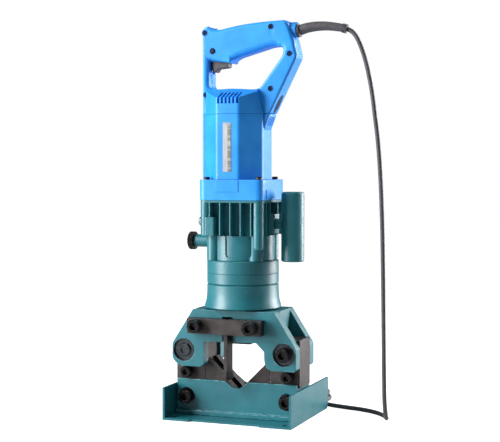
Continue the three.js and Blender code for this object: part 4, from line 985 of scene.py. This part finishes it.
# ---- Gear housing, its fins, the oil plug and the side grip ----
HOUSING_X = 45
HOUSING_Y = 48
HOUSING_LOW = 247.4
HOUSING_HIGH = 294.4
FRONT_FIN_DEPTH = 13
SIDE_FIN_DEPTH = 11
FIN_ROOT = 2
FIN_STEP = 14.6
GRIP_HEIGHT = 262.4
FILLER_SPOT = (-22, 265.4)


def round_plan(name, half_x, half_y, front, rear, low, high):
    points = [(-half_x, -half_y, front), (half_x, -half_y, front), (half_x, half_y, rear),
              (-half_x, half_y, rear)]
    return outline_prism(name, points, low, high)


def fin_row(name, places, depth, turn):
    return repeated(
        name, ROUNDED_BARS, places, TEAL, Width=mm(2.4), Depth=mm(depth), Height=mm(45),
        Corner=mm(1.1), Turn=(0.0, 0.0, turn),
    )


def make_gear_housing():
    X, Y, low, high = HOUSING_X, HOUSING_Y, HOUSING_LOW, HOUSING_HIGH
    core = round_plan("gear_case", X - SIDE_FIN_DEPTH, Y - FRONT_FIN_DEPTH, 6, 18, low, high)
    boolean(core, round_plan("rim", X, Y, 10, 24, high - 3, high), "UNION")
    for x, y, foot in (
        (X - 8, -Y + 8, low - 0.2), (-X + 8, -Y + 8, low + 0.3), (X - 13, Y - 13, low + 0.3),
        (-X + 13, Y - 13, low + 0.3),
    ):
        boolean(core, rod("boss", 7.5, (x, y, foot), (x, y, high - 1.4)), "UNION")
    front_boss = [(-36, -49.5, 2.5), (-22, -49.5, 2.5), (-22, -33, 0), (-36, -33, 0)]
    boolean(core, outline_prism("front_boss", front_boss, low + 0.4, low + 24.6), "UNION")
    foot = [(0, 228.6), (4, 228.6), (6.3, 230), (7.3, 233), (7.3, 260), (0, 260)]
    boolean(core, turned("boss_foot", foot, centre=(X - 8, -Y + 8), sides=48), "UNION")
    grip_boss = [(32, -13, 0), (48, -13, 3), (48, 13, 3), (32, 13, 0)]
    boolean(core, outline_prism("grip_boss", grip_boss, 249.4, 275.4), "UNION")
    edge_finish(core, 0.7, 2)
    gear_room = [(-15.85, -19, 6), (32.25, -19, 6), (32.25, 19, 6), (-15.85, 19, 6)]
    boolean(core, outline_prism("gear_room", gear_room, 255.4, high + 1))
    boolean(core, rod("eccentric_room", 11.5, (ECCENTRIC_X, 0, low - 1), (ECCENTRIC_X, 0, 256.4)))
    boolean(core, rod("neck_hole", 5.8, (38, 0, GRIP_HEIGHT), (49, 0, GRIP_HEIGHT), 32))
    boolean(core, rod("filler_hole", 4.3, (-47, *FILLER_SPOT), (-32, *FILLER_SPOT), 32))
    place(core, "teal_enamel", ["gear_housing"])
    front, side = FRONT_FIN_DEPTH + FIN_ROOT, SIDE_FIN_DEPTH + FIN_ROOT
    fronts = [(i * FIN_STEP, -Y + front / 2, low) for i in (-2, -1, 0, 1, 2)]
    rears = [(x, -y, z) for x, y, z in fronts]
    # The boss of the side grip stands where the middle fin on the right would be.
    rights = [(X - side / 2, i * FIN_STEP, low) for i in (-2, -1, 1, 2)]
    lefts = [(-X + side / 2, i * FIN_STEP, low) for i in (-2, -1, 0, 1, 2)]
    place(fin_row("front_rear_fins", fronts + rears, front, 0.0), "teal_enamel")
    place(fin_row("side_fins", rights + lefts, side, math.pi / 2), "teal_enamel")


def make_housing_fittings():
    plug_piece = turned("oil_filler_cap", [
        (0, -54), (4.8, -54), (6, -52.8), (6, -50.2), (5.3, -49.6), (6, -49), (6, -45.3), (4, -45.3),
        (4, -34), (0, -34),
    ], to_x=FILLER_SPOT, sides=48)
    place(edge_finish(plug_piece, 0), "bright_steel", ["oil_filler_plug"])
    neck = turned("grip_stub", [
        (0, 39), (5.5, 39), (5.5, 48.3), (6.2, 48.3), (7, 49.1), (7, 61.6), (0, 61.6),
    ], to_x=(0, GRIP_HEIGHT), sides=48)
    place(edge_finish(neck, 0), "teal_enamel", ["grip_neck"])
    grip = turned("side_handle", [
        (0, 212.4), (13.4, 212.4), (14.8, 213.2), (15.4, 214.8), (15.4, 302.6), (15.0, 304.2),
        (13.9, 305.2), (12.5, 305.4), (0, 305.4),
    ], centre=(71, 0), sides=96)
    boolean(grip, rod("neck_seat", 7.3, (47, 0, GRIP_HEIGHT), (62.6, 0, GRIP_HEIGHT)))
    place(edge_finish(grip, 0), "teal_enamel", ["side_grip"])


make_gear_housing()
make_housing_fittings()


# ---- Motor flange and housing ----
MOTOR_OUTLINE = [
    (-53.2, -15, 2), (-46.7, -15, 0), (-46.7, -18.15, 3), (-21.85, -43, 3), (10.15, -43, 3),
    (35, -18.15, 3),
]
MOTOR_BACK = [(x, -y, reach) for x, y, reach in reversed(MOTOR_OUTLINE)]
MOTOR_AXIS = -5.85


def make_flange():
    """The blue collar that bolts the motor on, with the raised panels on its front and right."""
    machined("motor_mounting_flange", ["motor_flange"], "blue_plastic", 1.0, 3)
    outline = [(-20.7, 305.6, 1), (11.7, 305.6, 1), (11.7, 320.9, 0), (-20.7, 320.9, 0)]
    panel = outline_prism("flange_panel", outline, -49.4, -48.2, "Y")
    place(edge_finish(panel, 0.4, 2, 60), "blue_plastic")
    low_panel = block("flange_side_panel", (45.6, -34, 297.5), (46.5, 6, 308))
    place(edge_finish(low_panel, 0.3, 2), "blue_plastic")


def make_motor_housing():
    made = outline_prism("motor_case", MOTOR_OUTLINE + MOTOR_BACK, 322.0, 408.5)
    foot = [(25, 386, 0), (35, 386, 0), (46.6, 416.3, 0), (25, 416.3, 0)]
    wedge = outline_prism("leg", foot, -15, 15, "Y")
    edge_finish(wedge, 3, 4)
    boolean(wedge, block("above", (0, -30, 408.5), (60, 30, 430)))
    boolean(made, wedge, "UNION")
    edge_finish(made, 0.4, 2, 60)
    boolean(made, rod("stator_room", 38.3, (MOTOR_AXIS, 0, 321), (MOTOR_AXIS, 0, 403.5), 96))
    boolean(made, rod("shaft_room", 20, (MOTOR_AXIS, 0, 402.5), (MOTOR_AXIS, 0, 409.5), 64))
    slits = repeated(
        "leg_vents", ROUNDED_BARS, [(42, -9 + 4.5 * i, 391.5) for i in range(5)], BLUE,
        Width=mm(2), Depth=mm(9), Height=mm(13.5), Corner=mm(0.5), Turn=(0.0, 0.0, math.pi / 2),
    )
    boolean(made, slits)
    place(made, "blue_plastic", ["motor_housing"])
    outline = [(-11.8, 332, 0.8), (-0.4, 332, 0.8), (-0.4, 397, 0.8), (-11.8, 397, 0.8)]
    plate = outline_prism("rating_plate", outline, -43.5, -42.8, "Y")
    place(edge_finish(plate, 0.15, 1, 60), "bright_steel", material=LABEL)


make_flange()
make_motor_housing()


# ---- Handle shells ----
HANDLE_OUTLINE = [
    (-53.2, 408.8, 0, 3), (43.6, 408.8, 4, 3), (81.5, 483.3, 4, 4), (77, 504.8, 4, 5),
    (66.5, 532.3, 6, 5), (32.7, 531.1, 20, 5), (1.5, 528.4, 20, 5), (-33, 522, 12, 5),
    (-47, 528.3, 5, 4), (-53.2, 523.8, 4, 3),
]
FINGER_OPENING = [
    (-44.1, 442.3, 10, 6), (-9, 443.8, 10, 3), (27.5, 440.8, 8, 3), (61.5, 486.8, 5, 4),
    (61, 497.8, 8, 6), (46, 498.4, 8, 8.5), (-5, 484.3, 8, 8.5), (-14.4, 477.3, 2, 2),
    (-18.2, 478.8, 1, 1.5), (-44.1, 481.3, 0, 6),
]
LOCK_BUTTON = (-38.5, 494.2)
CORD_SOCKET = (0, 519.3)
SHELL_SCREWS = [(-49.2, 518.9), (45.1, 523.7), (71.2, 487.4), (44.7, 442.2), (-47.8, 435.6)]
TRIGGER_SLOT = [(-46.5, 464.8, 0), (-43.9, 464.8, 0), (-43.9, 479.8, 0), (-17.2, 477.8, 0),
                (-12.5, 479.8, 0), (-12.5, 494.8, 0), (-20, 499.8, 0), (-46.5, 499.8, 0)]
GRIP_CAVITY = [
    (-47, 499.8, 0), (-12.6, 499.8, 0), (-12.6, 494.8, 0), (8, 492.8, 0), (48, 506.5, 0),
    (61, 505, 0), (68, 487, 0), (38, 430.8, 0), (44, 428.8, 0), (75, 484.8, 0), (70, 502.8, 0),
    (61, 525.8, 0), (33, 524.8, 0), (-30, 514.8, 0), (-47, 516.8, 0),
]


def shell_crown():
    """The top of the motor housing, half of it, with a sloping shoulder at the front and right."""
    front = [
        (-52.9, -0.4, 0), (-52.9, -14.4, 2), (-46.7, -14.4, 0), (-46.7, -18.15, 3), (-21.85, -43, 3),
        (10.15, -43, 3), (35, -18.15, 3), (35, -0.4, 0),
    ]
    crown = outline_prism("crown", front, 408.9, 443)
    slope = [(-44, 429.6), (-44, 450), (-10, 450), (-10, 444.3)]
    boolean(crown, prism("slope", slope, "X", -60, 60))
    taper = [(35.2, 409, 0), (28, 442, 0), (28, 450, 0), (60, 450, 0), (60, 409, 0)]
    boolean(crown, outline_prism("right_taper", taper, -50, 5, "Y"))
    edge_finish(crown, 0.9, 3, 20)
    slits = repeated(
        "vent_slits", ROUNDED_BARS, [(-18.8 + 5.38 * i, -37, 422.2) for i in range(6)], BLUE,
        Width=mm(3.0), Depth=mm(26), Height=mm(24), Corner=mm(0.5), Turn=FACE_UP,
    )
    return boolean(crown, slits)


def make_handle():
    outer = curved_corners(HANDLE_OUTLINE)
    inner = list(reversed(curved_corners(FINGER_OPENING)))
    shell = soft_slab("front_handle_shell", [outer, inner], -15, -0.15)
    crown = shell_crown()
    opening = [(x, z, reach) for x, z, reach, _ in FINGER_OPENING]
    boolean(crown, outline_prism("opening", opening, -50, 5, "Y"))
    boolean(shell, crown, "UNION")
    edge_finish(shell, 0)
    boolean(shell, outline_prism("trigger_slot", TRIGGER_SLOT, -7.6, 5, "Y"))
    boolean(shell, outline_prism("grip_cavity", GRIP_CAVITY, -12, 5, "Y"))
    boolean(shell, rod("brush_room", 32, (MOTOR_AXIS, 0, 420.8), (MOTOR_AXIS, 0, 434.8), 64))
    boolean(shell, rod("bearing_room", 11.3, (MOTOR_AXIS, 0, 407.8), (MOTOR_AXIS, 0, 421.8), 48))
    boolean(shell, rod("cord_hole", 7.8, (62, *CORD_SOCKET), (90, *CORD_SOCKET), 48))
    for x, z in SHELL_SCREWS:
        boolean(shell, rod("pocket", 3.9, (x, -18, z), (x, -12.6, z), 32))
    rear = mirrored(shell, "rear_handle_shell")
    x, z = LOCK_BUTTON
    boolean(shell, rod("lock_hole", 4.1, (x, -18, z), (x, 1, z), 48))
    for made, node in ((shell, "handle_shell_front"), (rear, "handle_shell_rear")):
        edge_finish(made, 0)
        place(made, "blue_plastic", [node])


def oval_on_leg(name, low, high, long_half, short_half):
    """An oval slug across the sloping outer face of the rear leg, from one depth to another."""
    along = Vector((0.453, 0, 0.891))
    out = Vector((0.891, 0, -0.453))
    middle = Vector((50.6, 0, 422.6))
    slug = rod(name, short_half, middle + out * low, middle + out * high, 64)
    around = Matrix.Translation(middle / 1000)
    slug.data.transform(around @ Matrix.Scale(long_half / short_half, 4, along) @ around.inverted())
    return slug


def make_handle_fittings():
    cap = oval_on_leg("brush_access_cap", -1.5, 0.4, 13.5, 6.5)
    place(edge_finish(cap, 0.5, 2, 60), "navy_plastic")
    socket = turned("cord_socket_ring", [
        (7.6, 68), (10.6, 68), (10.6, 76.8), (9.8, 77.9), (7.6, 77.9),
    ], to_x=CORD_SOCKET, sides=64)
    place(edge_finish(socket, 0), "blue_plastic")
    for side, tag in ((-1, "front"), (1, "rear")):
        rings = None
        for x, z in SHELL_SCREWS:
            ring = rod("screw_ring", 4.7, (x, side * 12.7, z), (x, side * 15.3, z), 40)
            boolean(ring, rod("bore", 3.7, (x, side * 11, z), (x, side * 17, z), 40))
            rings = boolean(rings, ring, "UNION") if rings else ring
        rings.name = tag + "_screw_rings"
        place(edge_finish(rings, 0.2, 1), "blue_plastic")
        places = [(x, side * 12.7, z) for x, z in SHELL_SCREWS]
        caps = repeated(
            tag + "_shell_screws", CAP_SCREWS, places, NAVY, Knurls=24, Head_Radius=mm(3.5),
            Root_Radius=mm(3.48), Side_Height=mm(1.3), Rim_Height=mm(0.4), Rim_Share=0.85,
            Socket_Sides=6, Socket_Radius=mm(1.5), Socket_Depth=mm(2), Shank_Radius=mm(1.5),
            Shank_Length=mm(1.5), Turn=(-side * math.pi / 2, 0.0, 0.0),
        )
        place(edge_finish(caps, 0), "navy_plastic")
    machined("trigger_lever", ["trigger"], "dark_plastic", 1.2, 3, "trigger")
    button = turned("lock_button_cap", [
        (0, -16.8), (2.9, -16.8), (3.6, -16.1), (3.6, -10), (0, -10),
    ], to_x=(0, 0), sides=40)
    turn = Matrix.Translation(mm(LOCK_BUTTON[0], 0, LOCK_BUTTON[1])) @ Matrix.Rotation(math.pi / 2, 4, "Z")
    button.data.transform(turn)
    place(edge_finish(button, 0), "navy_plastic", ["lock_button"], body="lock")


make_handle()
make_handle_fittings()


# ---- Parts that stay as they are in the frame ----
CARRIED = {
    "bright_steel": ["ram", "blade_pin", "return_spring", "armature", "drive_wheel", "eccentric_shaft",
                     "lower_bearing", "upper_bearing", "pump_plunger"],
    "copper": ["stator", "commutator"],
    "dark_plastic": ["cooling_fan", "carbon_brush_front", "carbon_brush_rear", "trigger_switch"],
    "cord_rubber": ["piston_seal"],
}
for slot, nodes in CARRIED.items():
    for node in nodes:
        NODES[node].data.materials.clear()
        NODES[node].data.materials.append(SLOTS[slot])
